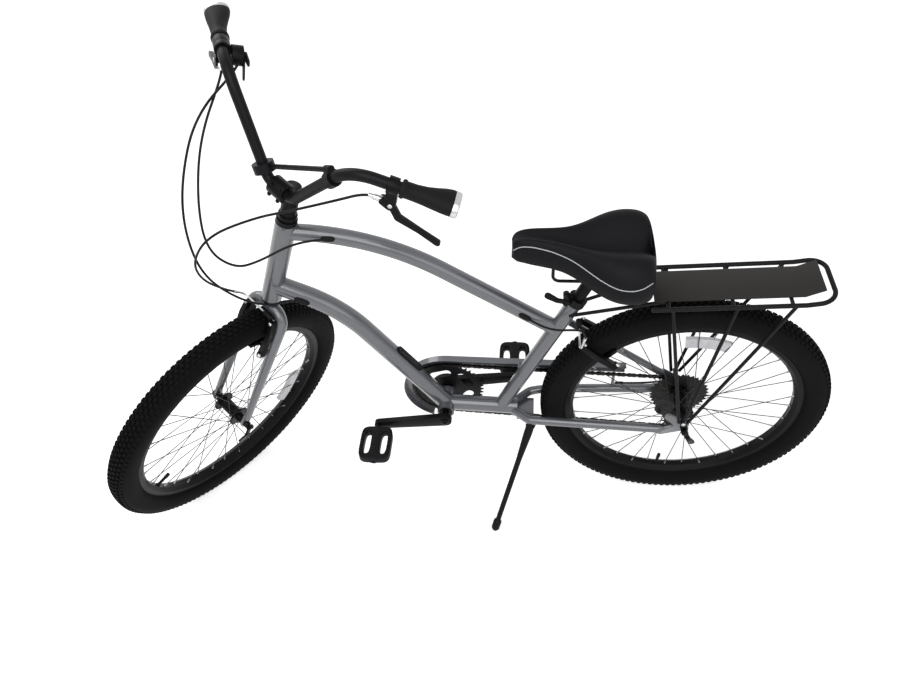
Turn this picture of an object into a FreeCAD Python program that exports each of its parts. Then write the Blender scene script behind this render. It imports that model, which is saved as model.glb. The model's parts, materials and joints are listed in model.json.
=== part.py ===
import FreeCAD, Part
import math
import os

V = FreeCAD.Vector

# Sizes in millimetres, angles in degrees. The bicycle is built upright, with +X forward, +Y to the
# rider's left, +Z up and zero on the ground under the rear axle. It is then leaned on its kickstand.

# Overall layout. An offset is measured from the front edge of the rear tyre, at the axle's height,
# unless its name says that it starts at the rear axle itself.
wheel_radius = 340.0
wheel_gap = 466.8
head_angle = 69.95
fork_offset = 67.0
steer_angle = 54.28
crank_offset = (235.7, 0, -23.0)
crank_angle = -8.97
running_gap = 0.05
seat_gap = 0.3
overrun = 5.0
bend_step = 15.0
slot_step = 10.0
tube_sides = 16
stay_sides = 12
wheel_sides = 60
hub_sides = 24
flat_share = 1e-6
cable_bend_share = 0.48
end_step = 30.0

# Wheels
tyre_width = 61.0
tyre_height = 60.5
rim_width = 32.0
rim_wall_height = 11.0
rim_bed_width = 14.0
rim_depth = 19.5
spoke_size = 2.0
spokes_each_side = 18
spoke_turn = 60.0
spoke_rim_offset = 1.8
spoke_lift = 0.7
tyre_shares = [(0.5, 0.0), (0.92, 0.22), (1.0, 0.5), (0.86, 0.8), (0.44, 1.0)]

# Hubs and axles
axle_radius = 5.0
hub_shell_radius = 15.0
hub_end_radius = 11.0
hub_flange_radius = 27.0
hub_flange_thickness = 3.4
spoke_circle_radius = 25.0
front_flange_offset = 29.0
front_hub_half = 45.0
rear_left_flange = 32.0
rear_right_flange = 19.0
rear_hub_left_end = 62.0
rear_hub_right_end = 25.0
front_drop_half = 50.0
rear_drop_half = 67.5
drop_thickness = 6.0
drop_radius = 13.0
skewer_nut_radius = 9.0
skewer_nut_length = 9.0
skewer_knuckle_radius = 6.5
skewer_lever_length = 44.0
skewer_lever_root = 5.5
skewer_lever_tip = 7.5
skewer_lever_thickness = 4.5
skewer_knuckle_share = 0.8
skewer_ahead_share = 0.5
skewer_down_share = 0.87

# Frame tubes
head_clearance = 46.0
head_length = 226.0
head_outer = 23.0
head_inner = 17.5
cup_outer = 22.0
cup_height = 10.6
cup_insert = 14.0
steerer_radius = 14.3
top_tube_radius = 18.0
top_tube_drop = 28.5
top_tube_run = V(-186.0, 0, -6.0)
top_tube_seat_offset = (-24.0, 0, 257.0)
top_tube_bend = 560.0
down_tube_radius = 22.0
down_tube_rise = 40.0
down_tube_run = V(-137.8, 0, -69.2)
down_tube_bend = 330.0
boom_radius = 20.0
boom_rear_offset = (58.0, 0, -32.0)
shell_radius = 21.0
shell_half = 34.0
shell_bore = 17.0
seat_tube_radius = 17.5
seat_tube_bore = 13.65
seat_tube_foot_offset = (100.0, 0, -31.0)
seat_tube_top_offset = (-64.0, 0, 341.0)

# Stays and rear dropouts
chain_stay_radius = 11.0
chain_stay_offsets = [(64.0, 15.0, -32.0), (28.0, 46.0, -29.0), (-10.0, 52.0, -23.0)]
chain_stay_from_axle = V(52.0, 63.5, -23.0)
chain_stay_bends = [26.0, 180.0]
seat_stay_radius = 9.0
seat_stay_offsets = [(-16.0, 12.0, 243.0), (-52.0, 46.0, 233.0)]
seat_stay_from_axle = V(42.0, 64.5, 35.0)
seat_stay_bend = 26.0
yoke_length = 42.0
yoke_half_width = 32.0
yoke_thickness = 6.0
yoke_drop = 13.0
drop_stay_from_axle = V(52.0, 0, -23.0)
drop_top_from_axle = V(40.0, 0, 33.0)
drop_arm_radius = 9.0
hanger_from_axle = V(9.0, 0, -30.0)
hanger_radius = 7.5

# Fork
crown_drop = 29.0
crown_radius = 14.0
crown_seat_radius = 17.0
leg_top_w = 49.0
leg_top_drop = 68.0
shoulder_inset = 1.0
leg_top_f = 6.0
leg_foot_w = 55.0
leg_foot_t = 16.0
leg_foot_f = 64.0
leg_foot_radius = 9.0
crown_bend = 32.0
steerer_rise = 28.0

# Rim brakes
brake_drop = 29.5
brake_lateral = 42.0
boss_radius = 7.0
boss_length = 18.0
boss_pin_radius = 4.0
arm_hub_radius = 8.5
arm_depth = 14.0
arm_pad_height = 22.5
arm_pad_w = 45.5
arm_knee_height = 62.0
arm_knee_w = 45.0
arm_top_height = 99.0
arm_top_w = 41.0
arm_root_radius = 7.5
arm_knee_radius = 6.0
arm_top_radius = 5.5
pad_gap = 2.4
pad_thickness = 9.0
pad_height = 9.0
pad_length = 52.0
pad_stud_radius = 3.5
noodle_radius = 2.6
noodle_height = 107.5
noodle_tip_w = 6.0
noodle_corner_w = 58.0
noodle_rise = 20.0
noodle_reach = 38.0
noodle_bend = 15.0
noodle_cable_share = 0.9
boot_outer = 7.2
boot_inner = 6.0
boot_start_w = 10.0

# Stem, bar and grips, in the steered frame: across (w), up the steering axis (t), ahead of it (f)
stem_radius = 17.0
stem_collar_radius = 20.0
stem_collar_height = 12.0
stem_rise = 94.0
stem_head_radius = 20.0
stem_head_width = 38.0
stem_neck_radius = 14.0
stem_cap_gap = 1.5
bar_radius = 11.1
bar_clamp_rise = 100.0
bar_clamp_f = 34.0
bar_rise_w = 35.0
bar_top_w = 158.0
bar_top_rise = 172.0
bar_top_f = 54.0
bar_sweep_w = 167.0
bar_end_rise = 169.0
bar_end_f = -52.0
bar_rise_bend = 26.0
bar_top_bend = 50.0
grip_length = 105.0
grip_radius = 16.0
grip_flange_radius = 18.0
grip_flange_length = 5.0
grip_paddle_reach = 27.0
grip_paddle_radius = 7.0
grip_paddle_length = 56.0
grip_ring_length = 8.0
brace_radius = 5.0
brace_clamp_radius = 22.0
brace_clamp_width = 19.0
brace_clamp_share = 0.1138
brace_end_share = 0.7236
brace_end_rise = 17.0
brace_start_rise = 18.0
brace_eye_radius = 8.0

# Brake levers and shifter
bracket_inset = 14.0
bracket_outer = 16.0
bracket_length = 19.0
bracket_arm_radius = 10.0
bracket_depth = 18.0
lever_slot = 9.6
lever_thickness = 8.6
lever_pivot_a = 6.0
lever_pivot_b = 38.0
lever_pin_radius = 2.5
lever_root_radius = 6.5
lever_knee_a = 26.0
lever_knee_b = 62.0
lever_mid_a = 70.0
lever_mid_b = 75.0
lever_tip_a = 108.0
lever_tip_b = 88.0
lever_mid_radius = 4.5
lever_tip_radius = 5.5
adjuster_radius = 5.0
adjuster_length = 16.0
adjuster_a = -10.0
adjuster_b = 36.0
pod_a = -24.0
pod_b = 6.0
pod_m = 15.5
pod_radius = 19.0
pod_thickness = 21.0
pod_ring_length = 12.0
pod_neck_radius = 7.0
pod_pin_radius = 3.0
shift_lever_thickness = 3.2
shift_lever_root = 8.0
shift_lever_tip = 6.0
thumb_reach = 38.0
thumb_angle = 35.0
release_reach = 33.0
release_angle = 100.0

# Cranks, chainring, pedals
crank_length = 170.0
crank_root_radius = 17.0
crank_tip_radius = 12.0
crank_thickness = 14.0
crank_left_inner = 50.0
crank_right_inner = 58.0
spindle_radius = 8.5
bearing_outer = 16.9
bearing_length = 14.0
chainring_teeth = 44
chainring_y = -45.0
chainring_thickness = 2.0
spider_radius = 42.0
ring_slots = 5
ring_slot_radius = 11.0
ring_slot_circle = 58.0
ring_slot_half_angle = 17.0
pedal_axle_radius = 4.5
pedal_gap = 9.0
pedal_length = 96.0
pedal_width = 78.0
pedal_height = 22.0
pedal_rail = 11.0
pedal_core_radius = 11.0

# Chain and sprockets
chain_pitch = 12.7
roller_radius = 3.85
roller_sides = 4
link_half_height = 4.0
link_end = 3.6
link_inner = 1.2
link_plate = 0.95
link_play = 0.15
sprocket_teeth = [34, 28, 24, 20, 18, 16, 14]
drive_sprocket = 3
sprocket_spacing = 5.0
sprocket_thickness = 2.0
cassette_core_radius = 17.0
tooth_seat_depth = 4.2
tooth_seat_half = 2.7
tooth_tip_height = 3.0
tooth_tip_half = 1.0
pulley_teeth = 11
pulley_bore = 3.05
guide_from_axle = V(20.0, 0, -80.0)
cage_length = 58.0
cage_low_angle = -125.0
cage_high_angle = -75.0
cage_plate = 1.6
cage_half_gap = 5.0
cage_radius = 13.0
cage_pin_radius = 3.0
knuckle_radius = 10.0
knuckle_length = 14.0
knuckle_share = 0.75
derailleur_link = 4.0
derailleur_link_radius = 5.0

# Chain guard
guard_rear_x = 136.0
guard_rear_rise = 81.0
guard_radius = 113.0
guard_depth = 34.0
guard_wall = 1.6
guard_outer_y = -54.6
guard_inner_y = -37.0
guard_front_angle = -68.0
guard_stay_radius = 4.0
guard_stay_x = 160.0
guard_lug_rise = 72.0

# Kickstand
kick_pivot_offset = (22.0, 36.0, -59.0)
kick_foot_ahead = 109.0
kick_foot_out = 197.0
kick_foot_z = 32.0
kick_folded_shares = V(-0.95, 0.25, -0.1)
kick_radius = 7.5
kick_tip_radius = 6.5
kick_knuckle_radius = 12.0
kick_knuckle_half = 12.0
kick_pin_radius = 5.0
kick_head_radius = 8.0
kick_head = 3.5
kick_block = 15.0
kick_post_share = 0.65
kick_post_ahead = 34.0
kick_post_y = 4.0
kick_post_radius = 5.5
kick_plate_radius = 14.0
kick_foot_radius = 10.5
kick_foot_length = 34.0
kick_foot_chamfer = 6.0
kick_foot_tip = 6.0

# Seat post and saddle
post_radius = 13.6
post_below = 190.0
post_top_rise = 412.0
collar_outer = 21.5
collar_height = 18.0
collar_ear = 11.0
collar_ear_radius = 7.0
collar_slit = 3.0
saddle_length = 285.0
saddle_clamp_share = 0.6010564
saddle_half_width = 116.0
saddle_height = 96.0
saddle_bottom_rise = 428.0
saddle_station_shares = [0.0, 0.04, 0.14, 0.28, 0.42, 0.55, 0.67, 0.78, 0.89, 0.97, 1.0]
saddle_width_shares = [0.10, 0.18, 0.24, 0.28, 0.36, 0.54, 0.78, 0.97, 1.0, 0.88, 0.72]
saddle_top_shares = [0.76, 0.83, 0.84, 0.82, 0.82, 0.86, 0.93, 0.99, 1.0, 0.92, 0.8]
saddle_floor_shares = [0.5, 0.45, 0.41, 0.34, 0.25, 0.13, 0.04, 0.0, 0.0, 0.05, 0.14]
saddle_dip_shares = [0.01, 0.02, 0.04, 0.08, 0.12, 0.15, 0.18, 0.21, 0.23, 0.24, 0.22]
saddle_side_shares = [(0.84, 0, 0), (0.96, 0.16, 0), (1.0, 0.36, 0), (0.97, 0.6, 0), (0.86, 0.84, 0)]
saddle_lobe_shares = [(0.66, 0.98, 0), (0.45, 1.0, 0.12), (0.24, 1.0, 0.5), (0, 1.0, 1.0)]
saddle_base_thickness = 4.0
saddle_base_share = 0.76
rail_radius = 3.5
rail_gauge = 22.0
rail_level_rise = 420.0
rail_front_share = 0.3018
rail_rear_share = 0.8421
rail_bend = 14.0
rail_rear_bend = 4.0
rail_rise = 37.0
rail_rear_rise = 6.0
rail_sides = 8
clamp_radius = 16.0
clamp_half = 30.0

# Rack
rack_rail_radius = 5.0
rack_half_width = 65.0
rack_front_x = 126.0
rack_front_gap = 42.0
rack_kick_x = -176.0
rack_kick_gap = 65.0
rack_rear_x = -234.0
rack_rear_gap = 77.0
rack_corner = 34.0
deck_half_width = 46.0
deck_thickness = 2.0
deck_lip = 16.0
deck_front_inset = 6.0
deck_rear_inset = 22.0
cross_radius = 4.0
rail_facets = 8
strut_sides = 6
cross_bar_x = [92.0, -36.0, -150.0]
strut_radius = 4.0
strut_top_x = [84.0, -44.0, -158.0]
strut_foot_x = [17.0, 7.0, -3.0]
strut_foot_y = 81.0
strut_foot_rise = 26.0
eyelet_radius = 5.5
rack_stay_y = 40.0
rack_stay_rise = 312.0
rack_stay_share = 0.8

# Bottle cage mount on the down tube
boss_pitch = 64.0
boss_hole_radius = 2.5
mount_width = 18.0
mount_thickness = 9.0
mount_end = 14.0
mount_distance = 178.0
bolt_depth = 9.0

# Cables. Route points are (across, up, ahead) in the steered frame, up from the bar's clamp or from the
# bottom of the head tube, and (x, y, z) from the top tube's front end.
cable_radius = 2.5
cable_sides = 6
front_cable_upper = [(160, 112, 70), (90, 46, 101), (20, -22, 110), (-25, -72, 178)]
front_cable_lower = [(-50, 167, 188), (-60, 84, 150)]
rear_cable_upper = [(-165, 28, 95), (-100, -62, 145), (-45, -137, 160), (5, -162, 128)]
rear_cable_fixed = [V(39.0, 76.0, -16.0), V(-18.0, 47.0, 2.0)]
rear_cable_port = 72.0
shift_cable_upper = [(-190, 58, 90), (-125, -22, 165), (-85, -112, 182)]
shift_cable_lower = [(-50, 114, 160), (-14, 42, 98), (34, 24, 46)]
shift_cable_port = 51.2

# Chain closing and standing
link_low_share = 0.5
link_high_share = 1.5
halvings = 40
cage_trials = 60
first_lean = 9.0
lean_trial = 0.01
lean_rounds = 20


def unit(v):
    return V(v).normalize()


def cyl(p, q, radius):
    return Part.makeCylinder(radius, (q - p).Length, p, q - p)


def ring(p, q, outer, inner):
    return cyl(p, q, outer).cut(cyl(p, q, inner))


def corners(centre, way, radius, sides):
    """The corners of a regular outline across a direction."""
    side = unit(way.cross(V(way.y, way.z, way.x)))
    return [centre + FreeCAD.Rotation(way, 360 * k / sides).multVec(side) * radius for k in range(sides)]


def skinned(rings, closed=False):
    """A solid through rings of corners: flat faces between each pair of edges, and one at each open end."""
    outlines = [] if closed else [rings[0], rings[-1]]
    for near, far in zip(rings, rings[1:]):
        for k in range(len(near)):
            outlines += flats(near[k - 1], near[k], far[k], far[k - 1])
    faces = [Part.Face(Part.makePolygon(outline + outline[:1])) for outline in outlines]
    solid = Part.makeSolid(Part.makeShell(faces))
    return solid if solid.Volume > 0 else solid.reversed()


def flats(a, b, c, d):
    """Four corners as one outline where they are level, or else as two triangles."""
    lift = (b - a).cross(c - a).dot(d - a)
    return [[a, b, c, d]] if abs(lift) < flat_share * (c - a).Length ** 3 else [[a, b, c], [a, c, d]]


def taper(p, q, start_radius, end_radius, sides):
    return skinned([corners(p, q - p, start_radius, sides), corners(q, q - p, end_radius, sides)])


def rod(points, radius, bends, sides):
    """A bar of straight runs and bends, one bend radius for each corner, in short flat steps."""
    ring_now = corners(points[0], points[1] - points[0], radius, sides)
    rings = [ring_now]
    start = points[0]
    for before, corner, after, bend in zip(points, points[1:], points[2:], bends):
        back = unit(before - corner)
        ahead = unit(after - corner)
        half = back.getAngle(ahead) / 2
        reach = bend / math.tan(half)
        centre = corner + unit(back + ahead) * (bend / math.sin(half))
        begin = corner + back * reach
        ring_now = [p + (begin - start) for p in ring_now]
        rings.append(ring_now)
        swing = 180 - math.degrees(half * 2)
        steps = math.ceil(swing / bend_step)
        turn_step = FreeCAD.Rotation(ahead.cross(back), swing / steps)
        for step in range(steps):
            ring_now = [centre + turn_step.multVec(p - centre) for p in ring_now]
            rings.append(ring_now)
        start = corner + ahead * reach
    rings.append([p + (points[-1] - start) for p in ring_now])
    return skinned(rings)


def bar(p, q, radius, sides=tube_sides):
    """A straight round bar in long flats."""
    return rod([p, q], radius, (), sides)


def largest_bends(points):
    """The largest bend at each corner that leaves a short straight run on both sides."""
    bends = []
    for before, corner, after in zip(points, points[1:], points[2:]):
        half = (before - corner).getAngle(after - corner) / 2
        shorter = min((before - corner).Length, (after - corner).Length)
        bends.append(cable_bend_share * shorter * math.tan(half))
    return bends


def slab(points, depth):
    """A flat plate: a closed outline of straight edges pushed along a vector."""
    return Part.Face(Part.makePolygon(points + points[:1])).extrude(depth)


def link(p, q, p_radius, q_radius, normal, thickness, step=end_step):
    """A flat tapered link with rounded ends in short flats, centred on the plane through p and q."""
    along = unit(q - p)
    side = unit(normal.cross(along))
    lean = math.degrees(math.asin((p_radius - q_radius) / (q - p).Length))
    outline = []
    far_end = (q, q_radius, 90 - lean, 180 - 2 * lean)
    near_end = (p, p_radius, lean - 90, 180 + 2 * lean)
    for centre, radius, first, sweep in (far_end, near_end):
        count = math.ceil(sweep / step)
        for k in range(count + 1):
            angle = math.radians(first - sweep * k / count)
            outline.append(centre + (along * math.cos(angle) + side * math.sin(angle)) * radius)
    depth = unit(normal) * thickness
    return slab([point - depth / 2 for point in outline], depth)


def turned(profile, centre, axis):
    """A body of revolution from (offset along the axis, radius) pairs."""
    out = unit(axis.cross(V(1, 0, 0)))
    points = [centre + axis * offset + out * radius for offset, radius in profile]
    return Part.Face(Part.makePolygon(points + points[:1])).revolve(centre, axis, 360)


def wheel_ring(profile, centre, axis, sides):
    """A ring round an axis with a regular outline, from (offset along the axis, radius) pairs."""
    down = unit(axis * axis.z - V(0, 0, 1))
    rings = []
    for k in range(sides + 1):
        out = FreeCAD.Rotation(axis, 360 * (k % sides) / sides).multVec(down)
        rings.append([centre + axis * offset + out * radius for offset, radius in profile])
    return skinned(rings, True)


def joined(shapes):
    return shapes[0].multiFuse(shapes[1:]).removeSplitter() if len(shapes) > 1 else shapes[0]


def group(shapes):
    solids = [solid for shape in shapes for solid in shape.Solids]
    return solids[0] if len(solids) == 1 else Part.makeCompound(solids)


def cut_by(shape, *tools):
    for tool in tools:
        shape = shape.cut(tool)
    return shape


def flipped(point):
    return V(point.x, -point.y, point.z)


def frame_point(offset):
    """A point of the frame, from its offset to the front edge of the rear tyre."""
    x, y, z = offset
    return V(wheel_radius + x, y, wheel_radius + z)


left_way = V(0, 1, 0)
rear_axle = V(0, 0, wheel_radius)
wheelbase = 2 * wheel_radius + wheel_gap
bead_radius = wheel_radius - tyre_height
rim_bed_radius = bead_radius - rim_depth
brake_circle = bead_radius - brake_drop
crank_centre = frame_point(crank_offset)
boom_rear = frame_point(boom_rear_offset)
seat_tube_foot = frame_point(seat_tube_foot_offset)
seat_tube_top = frame_point(seat_tube_top_offset)
top_tube_seat = frame_point(top_tube_seat_offset)
chain_stay_points = [frame_point(offset) for offset in chain_stay_offsets]
chain_stay_points.append(rear_axle + chain_stay_from_axle)
seat_stay_points = [frame_point(offset) for offset in seat_stay_offsets]
seat_stay_points.append(rear_axle + seat_stay_from_axle)
kick_pivot = frame_point(kick_pivot_offset)
kick_foot = V(wheel_radius + kick_foot_ahead, kick_foot_out, kick_foot_z)
rail_z = wheel_radius + rail_level_rise
strut_foot_z = wheel_radius + strut_foot_rise

# Heights along the steering axis, from the level of the front axle
head_bottom = wheel_radius + head_clearance
head_top = head_bottom + head_length
crown_t = head_bottom - crown_drop
leg_top_t = head_bottom - leg_top_drop
steerer_top = head_top + steerer_rise
stem_top = head_top + stem_rise
bar_clamp_t = head_top + bar_clamp_rise
bar_top_t = bar_clamp_t + bar_top_rise
bar_end_t = bar_clamp_t + bar_end_rise
bar_end_w = bar_top_w + bar_sweep_w

# Steering axis (up), steered ahead and steered left directions
rake = math.radians(head_angle)
turn = math.radians(steer_angle)
steer_up = V(-math.cos(rake), 0, math.sin(rake))
straight_ahead = V(math.sin(rake), 0, math.cos(rake))
steer_base = V(wheelbase, 0, wheel_radius) - straight_ahead * fork_offset
ahead_way = straight_ahead * math.cos(turn) + left_way * math.sin(turn)
across_way = left_way * math.cos(turn) - straight_ahead * math.sin(turn)


def steered(w, t, f):
    return steer_base + across_way * w + steer_up * t + ahead_way * f


def head_axis(t):
    return steered(0, t, 0)


front_axle = steered(0, 0, fork_offset)
seat_up = unit(seat_tube_top - seat_tube_foot)
top_tube_head = head_axis(head_top - top_tube_drop)
top_tube_corner = top_tube_head + top_tube_run
down_tube_head = head_axis(head_bottom + down_tube_rise)
down_tube_corner = down_tube_head + down_tube_run


def tyre_outline():
    height = wheel_radius - bead_radius
    half = tyre_width / 2
    left = [(half * w, bead_radius + height * h) for w, h in tyre_shares]
    return left + [(-w, radius) for w, radius in left[::-1]]


def tyre(centre, axis):
    return wheel_ring(tyre_outline(), centre, axis, wheel_sides)


def rim(centre, axis):
    half = rim_width / 2
    top = bead_radius - running_gap
    wall = top - rim_wall_height
    bed = rim_bed_width / 2
    side = [(half, top), (half, wall), (bed, rim_bed_radius)]
    return wheel_ring(side + [(-w, radius) for w, radius in side[::-1]], centre, axis, wheel_sides)


def spokes(centre, axis, left_flange, right_flange):
    """Crossed spokes: on each flange every other spoke leads, and the rest trail on its inner face."""
    base = unit(axis.cross(V(1, 0, 0)))
    solids = []
    step = 360 / spokes_each_side
    half = spoke_size / 2
    face = hub_flange_thickness / 2 + half + spoke_lift
    for flange, phase in ((left_flange, 0), (-right_flange, step / 2)):
        way = math.copysign(1, flange)
        for count in range(spokes_each_side):
            lead = 1 if count % 2 == 0 else -1
            hub_angle = phase + count * step
            rim_angle = hub_angle + lead * spoke_turn
            hub_way = FreeCAD.Rotation(axis, hub_angle).multVec(base)
            rim_way = FreeCAD.Rotation(axis, rim_angle).multVec(base)
            start = centre + hub_way * spoke_circle_radius + axis * (flange + way * lead * face)
            rim_spot = axis * (way * (2 + lead) * spoke_rim_offset)
            end = centre + rim_way * (rim_bed_radius - running_gap) + rim_spot
            along = unit(end - start)
            side = unit(along.cross(axis))
            up = side.cross(along)
            edges = [side * half + up * half, side * half - up * half]
            outline = [start + edge for edge in edges] + [start - edge for edge in edges]
            solids.append(slab(outline, end - start - along * half))
    return group(solids)


def hub(centre, axis, left_end, left_flange, right_flange, right_end):
    bore = axle_radius + running_gap
    half = hub_flange_thickness / 2
    outline = [(-right_end, bore), (-right_end, hub_end_radius)]
    for offset in (-right_flange, left_flange):
        inner, outer = (hub_end_radius, hub_shell_radius)[::1 if offset < 0 else -1]
        outline += [(offset - half, inner), (offset - half, hub_flange_radius)]
        outline += [(offset + half, hub_flange_radius), (offset + half, outer)]
    outline += [(left_end, hub_end_radius), (left_end, bore)]
    return wheel_ring(outline, centre, axis, hub_sides)


def skewer(centre, axis, drop_half):
    """The fixed axle with its nut on the right and its cam housing on the left."""
    outer = drop_half + drop_thickness
    rod_part = cyl(centre - axis * (outer + skewer_nut_length), centre + axis * outer, axle_radius)
    nut = bar(centre - axis * outer, centre - axis * (outer + skewer_nut_length), skewer_nut_radius)
    cam = bar(centre + axis * outer, centre + axis * (outer + skewer_nut_length), skewer_nut_radius)
    return joined([rod_part, nut, cam])


def skewer_lever(seat, axis, way):
    """A curved quick-release lever on a cross knuckle; seat is the middle of the face that it turns on."""
    pivot = seat + axis * (skewer_knuckle_radius + seat_gap)
    hinge = unit(axis.cross(way))
    half = skewer_nut_radius * skewer_knuckle_share
    knuckle = bar(pivot - hinge * half, pivot + hinge * half, skewer_knuckle_radius, stay_sides)
    bend = pivot + way * (skewer_lever_length / 2) + axis * skewer_lever_thickness
    tip = pivot + way * skewer_lever_length
    root = skewer_lever_root
    inner_face = (bend - pivot).cross(hinge)
    outer_face = (tip - bend).cross(hinge)
    inner = link(pivot, bend, root, root, unit(inner_face), skewer_lever_thickness)
    outer = link(bend, tip, root, skewer_lever_tip, unit(outer_face), skewer_lever_thickness)
    return joined([knuckle, inner, outer])


def head_solid():
    return cyl(head_axis(head_bottom), head_axis(head_top), head_outer)


def head_tube():
    return head_solid().cut(cyl(head_axis(head_bottom), head_axis(head_top), head_inner))


def headset():
    bore = steerer_radius + running_gap
    insert = head_inner
    cups = []
    for seat, way in ((head_bottom, -1), (head_top, 1)):
        outline = [(0, insert), (0, cup_outer), (way * cup_height, cup_outer), (way * cup_height, bore)]
        outline += [(-way * cup_insert, bore), (-way * cup_insert, insert)]
        cups.append(turned(outline, head_axis(seat), steer_up))
    return group(cups)


def seat_tube_point(rise):
    """The point of the seat tube's line at a height above the rear axle."""
    return seat_tube_foot + seat_up * ((wheel_radius + rise - seat_tube_foot.z) / seat_up.z)


def seat_tube_solid():
    return cyl(seat_tube_foot, seat_tube_top, seat_tube_radius)


def shell_solid():
    return cyl(crank_centre - left_way * shell_half, crank_centre + left_way * shell_half, shell_radius)


def boom_line():
    return boom_rear, crank_centre


def boom_tube():
    rear, front = boom_line()
    bore = cyl(crank_centre - left_way * shell_half, crank_centre + left_way * shell_half, shell_bore)
    return joined([cyl(rear, front, boom_radius), shell_solid()]).cut(bore)


def seat_tube():
    rear, front = boom_line()
    bore = cyl(seat_tube_foot + seat_up * (boom_radius * 2), seat_tube_top, seat_tube_bore)
    return cut_by(seat_tube_solid(), bore, cyl(rear, front, boom_radius))


def top_tube():
    points = [top_tube_head, top_tube_corner, top_tube_seat]
    tube = rod(points, top_tube_radius, [top_tube_bend], tube_sides)
    return largest(cut_by(tube, head_solid(), seat_tube_solid()))


def down_tube_solid():
    points = [down_tube_head, down_tube_corner, crank_centre]
    return rod(points, down_tube_radius, [down_tube_bend], tube_sides)


def down_tube():
    rear, front = boom_line()
    boom = cyl(rear, front, boom_radius)
    return largest(cut_by(down_tube_solid(), head_solid(), shell_solid(), boom, *bolt_holes()))


def largest(shape):
    return max(shape.Solids, key=lambda solid: solid.Volume)


def drop_plate(side):
    """A rear dropout plate with its slot; the right one adds the derailleur hanger."""
    inner = left_way * (side * rear_drop_half)
    middle = inner + left_way * (side * drop_thickness / 2)
    axle = rear_axle + middle
    stay_end = axle + drop_stay_from_axle
    top_end = axle + drop_top_from_axle
    arms = [
        link(axle, stay_end, drop_radius, drop_arm_radius, left_way, drop_thickness),
        link(axle, top_end, drop_radius, drop_arm_radius, left_way, drop_thickness),
    ]
    if side < 0:
        hanger = axle + hanger_from_axle
        arms.append(link(axle, hanger, drop_radius, hanger_radius, left_way, drop_thickness))
    slot_half = axle_radius + running_gap
    slot_end = axle - V(1, 0, 0) * (drop_radius + overrun)
    slot = link(axle, slot_end, slot_half, slot_half, left_way, drop_thickness + overrun, slot_step)
    return joined(arms).cut(slot)


def chain_stays():
    rear, front = boom_line()
    boom = cyl(rear, front, boom_radius)
    pieces = []
    for side in (1, -1):
        points = [p if side > 0 else flipped(p) for p in chain_stay_points]
        tube = rod(points, chain_stay_radius, chain_stay_bends, stay_sides)
        plate = drop_plate(side)
        tube = cut_by(tube, boom)
        pieces += [largest(tube), plate]
    half = yoke_half_width
    yoke_corner = boom_rear - V(yoke_length, half, yoke_drop)
    yoke = Part.makeBox(yoke_length, half * 2, yoke_thickness, yoke_corner)
    pieces.append(yoke.cut(boom))
    return largest(joined(pieces))


def seat_stay_line(side):
    return [p if side > 0 else flipped(p) for p in seat_stay_points]


def rear_brake_frame():
    """Radial and tangent directions of the rear brake, from the axle to the bosses on the seat stays."""
    low = seat_stay_points[2]
    run_way = unit(seat_stay_points[1] - low)
    offset = V(low.x, 0, low.z) - rear_axle
    flat = V(run_way.x, 0, run_way.z)
    b = offset.dot(flat)
    c = offset.dot(offset) - brake_circle ** 2
    a = flat.dot(flat)
    reach = (-b + math.sqrt(b * b - a * c)) / a
    radial = unit(offset + flat * reach)
    return radial, V(-radial.z, 0, radial.x)


def front_brake_frame():
    radial = unit(steered(0, leg_top_t, leg_top_f) - front_axle)
    drift = radial.dot(ahead_way) / radial.dot(steer_up)
    radial = unit(steer_up + ahead_way * drift)
    cross = unit(across_way.cross(radial))
    return radial, cross * math.copysign(1, cross.dot(ahead_way))


def brake_boss(axle, radial, tangent, lateral, side):
    foot = axle + radial * brake_circle + lateral * (side * brake_lateral)
    end = foot + tangent * (boss_length + seat_gap + arm_depth)
    boss = bar(foot, foot + tangent * boss_length, boss_radius, stay_sides)
    return boss.fuse(cyl(foot, end, boss_pin_radius))


def brake_arm(axle, radial, tangent, lateral, side, noodle):
    """One V-brake arm on its boss: hub, bent arm, pad with its stud, and the noodle or its boot."""
    foot = axle + radial * brake_circle + tangent * (boss_length + seat_gap)
    middle = foot + tangent * (arm_depth / 2)

    def at(w, height):
        return middle + lateral * (side * w) + radial * height

    hub_foot = foot + lateral * (side * brake_lateral)
    hub_part = bar(hub_foot, hub_foot + tangent * arm_depth, arm_hub_radius)
    knee = at(arm_knee_w, arm_knee_height)
    top = at(arm_top_w, arm_top_height)
    lower = link(at(brake_lateral, 0), knee, arm_root_radius, arm_knee_radius, tangent, arm_depth)
    upper = link(knee, top, arm_knee_radius, arm_top_radius, tangent, arm_depth)
    pad_back = rim_width / 2 + pad_gap + pad_thickness
    stud = bar(at(pad_back, arm_pad_height), at(arm_pad_w, arm_pad_height), pad_stud_radius, rail_sides)
    bore_end = hub_foot + tangent * (arm_depth + overrun)
    bore = cyl(hub_foot - tangent * overrun, bore_end, boss_pin_radius + running_gap)
    arm = joined([hub_part, lower, upper, stud]).cut(bore)
    corner = at(pad_back, arm_pad_height - pad_height / 2) - tangent * (pad_length / 2)
    far_corner = corner + tangent * pad_length
    outline = [corner, corner + radial * pad_height, far_corner + radial * pad_height, far_corner]
    pad = slab(outline, lateral * (-side * pad_thickness))
    solids = [arm, pad]
    if noodle:
        points = noodle_points(axle, radial, tangent, lateral, side)
        solids.append(rod(points, noodle_radius, [noodle_bend], cable_sides))
    else:
        start = at(boot_start_w, noodle_height)
        seat = at(arm_top_w - arm_top_radius, noodle_height)
        solids.append(bar(start, seat, boot_outer).cut(bar(start, seat, boot_inner)))
        solids.append(bar(at(arm_top_w, noodle_height), seat, boot_outer))
    return group(solids)


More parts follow.
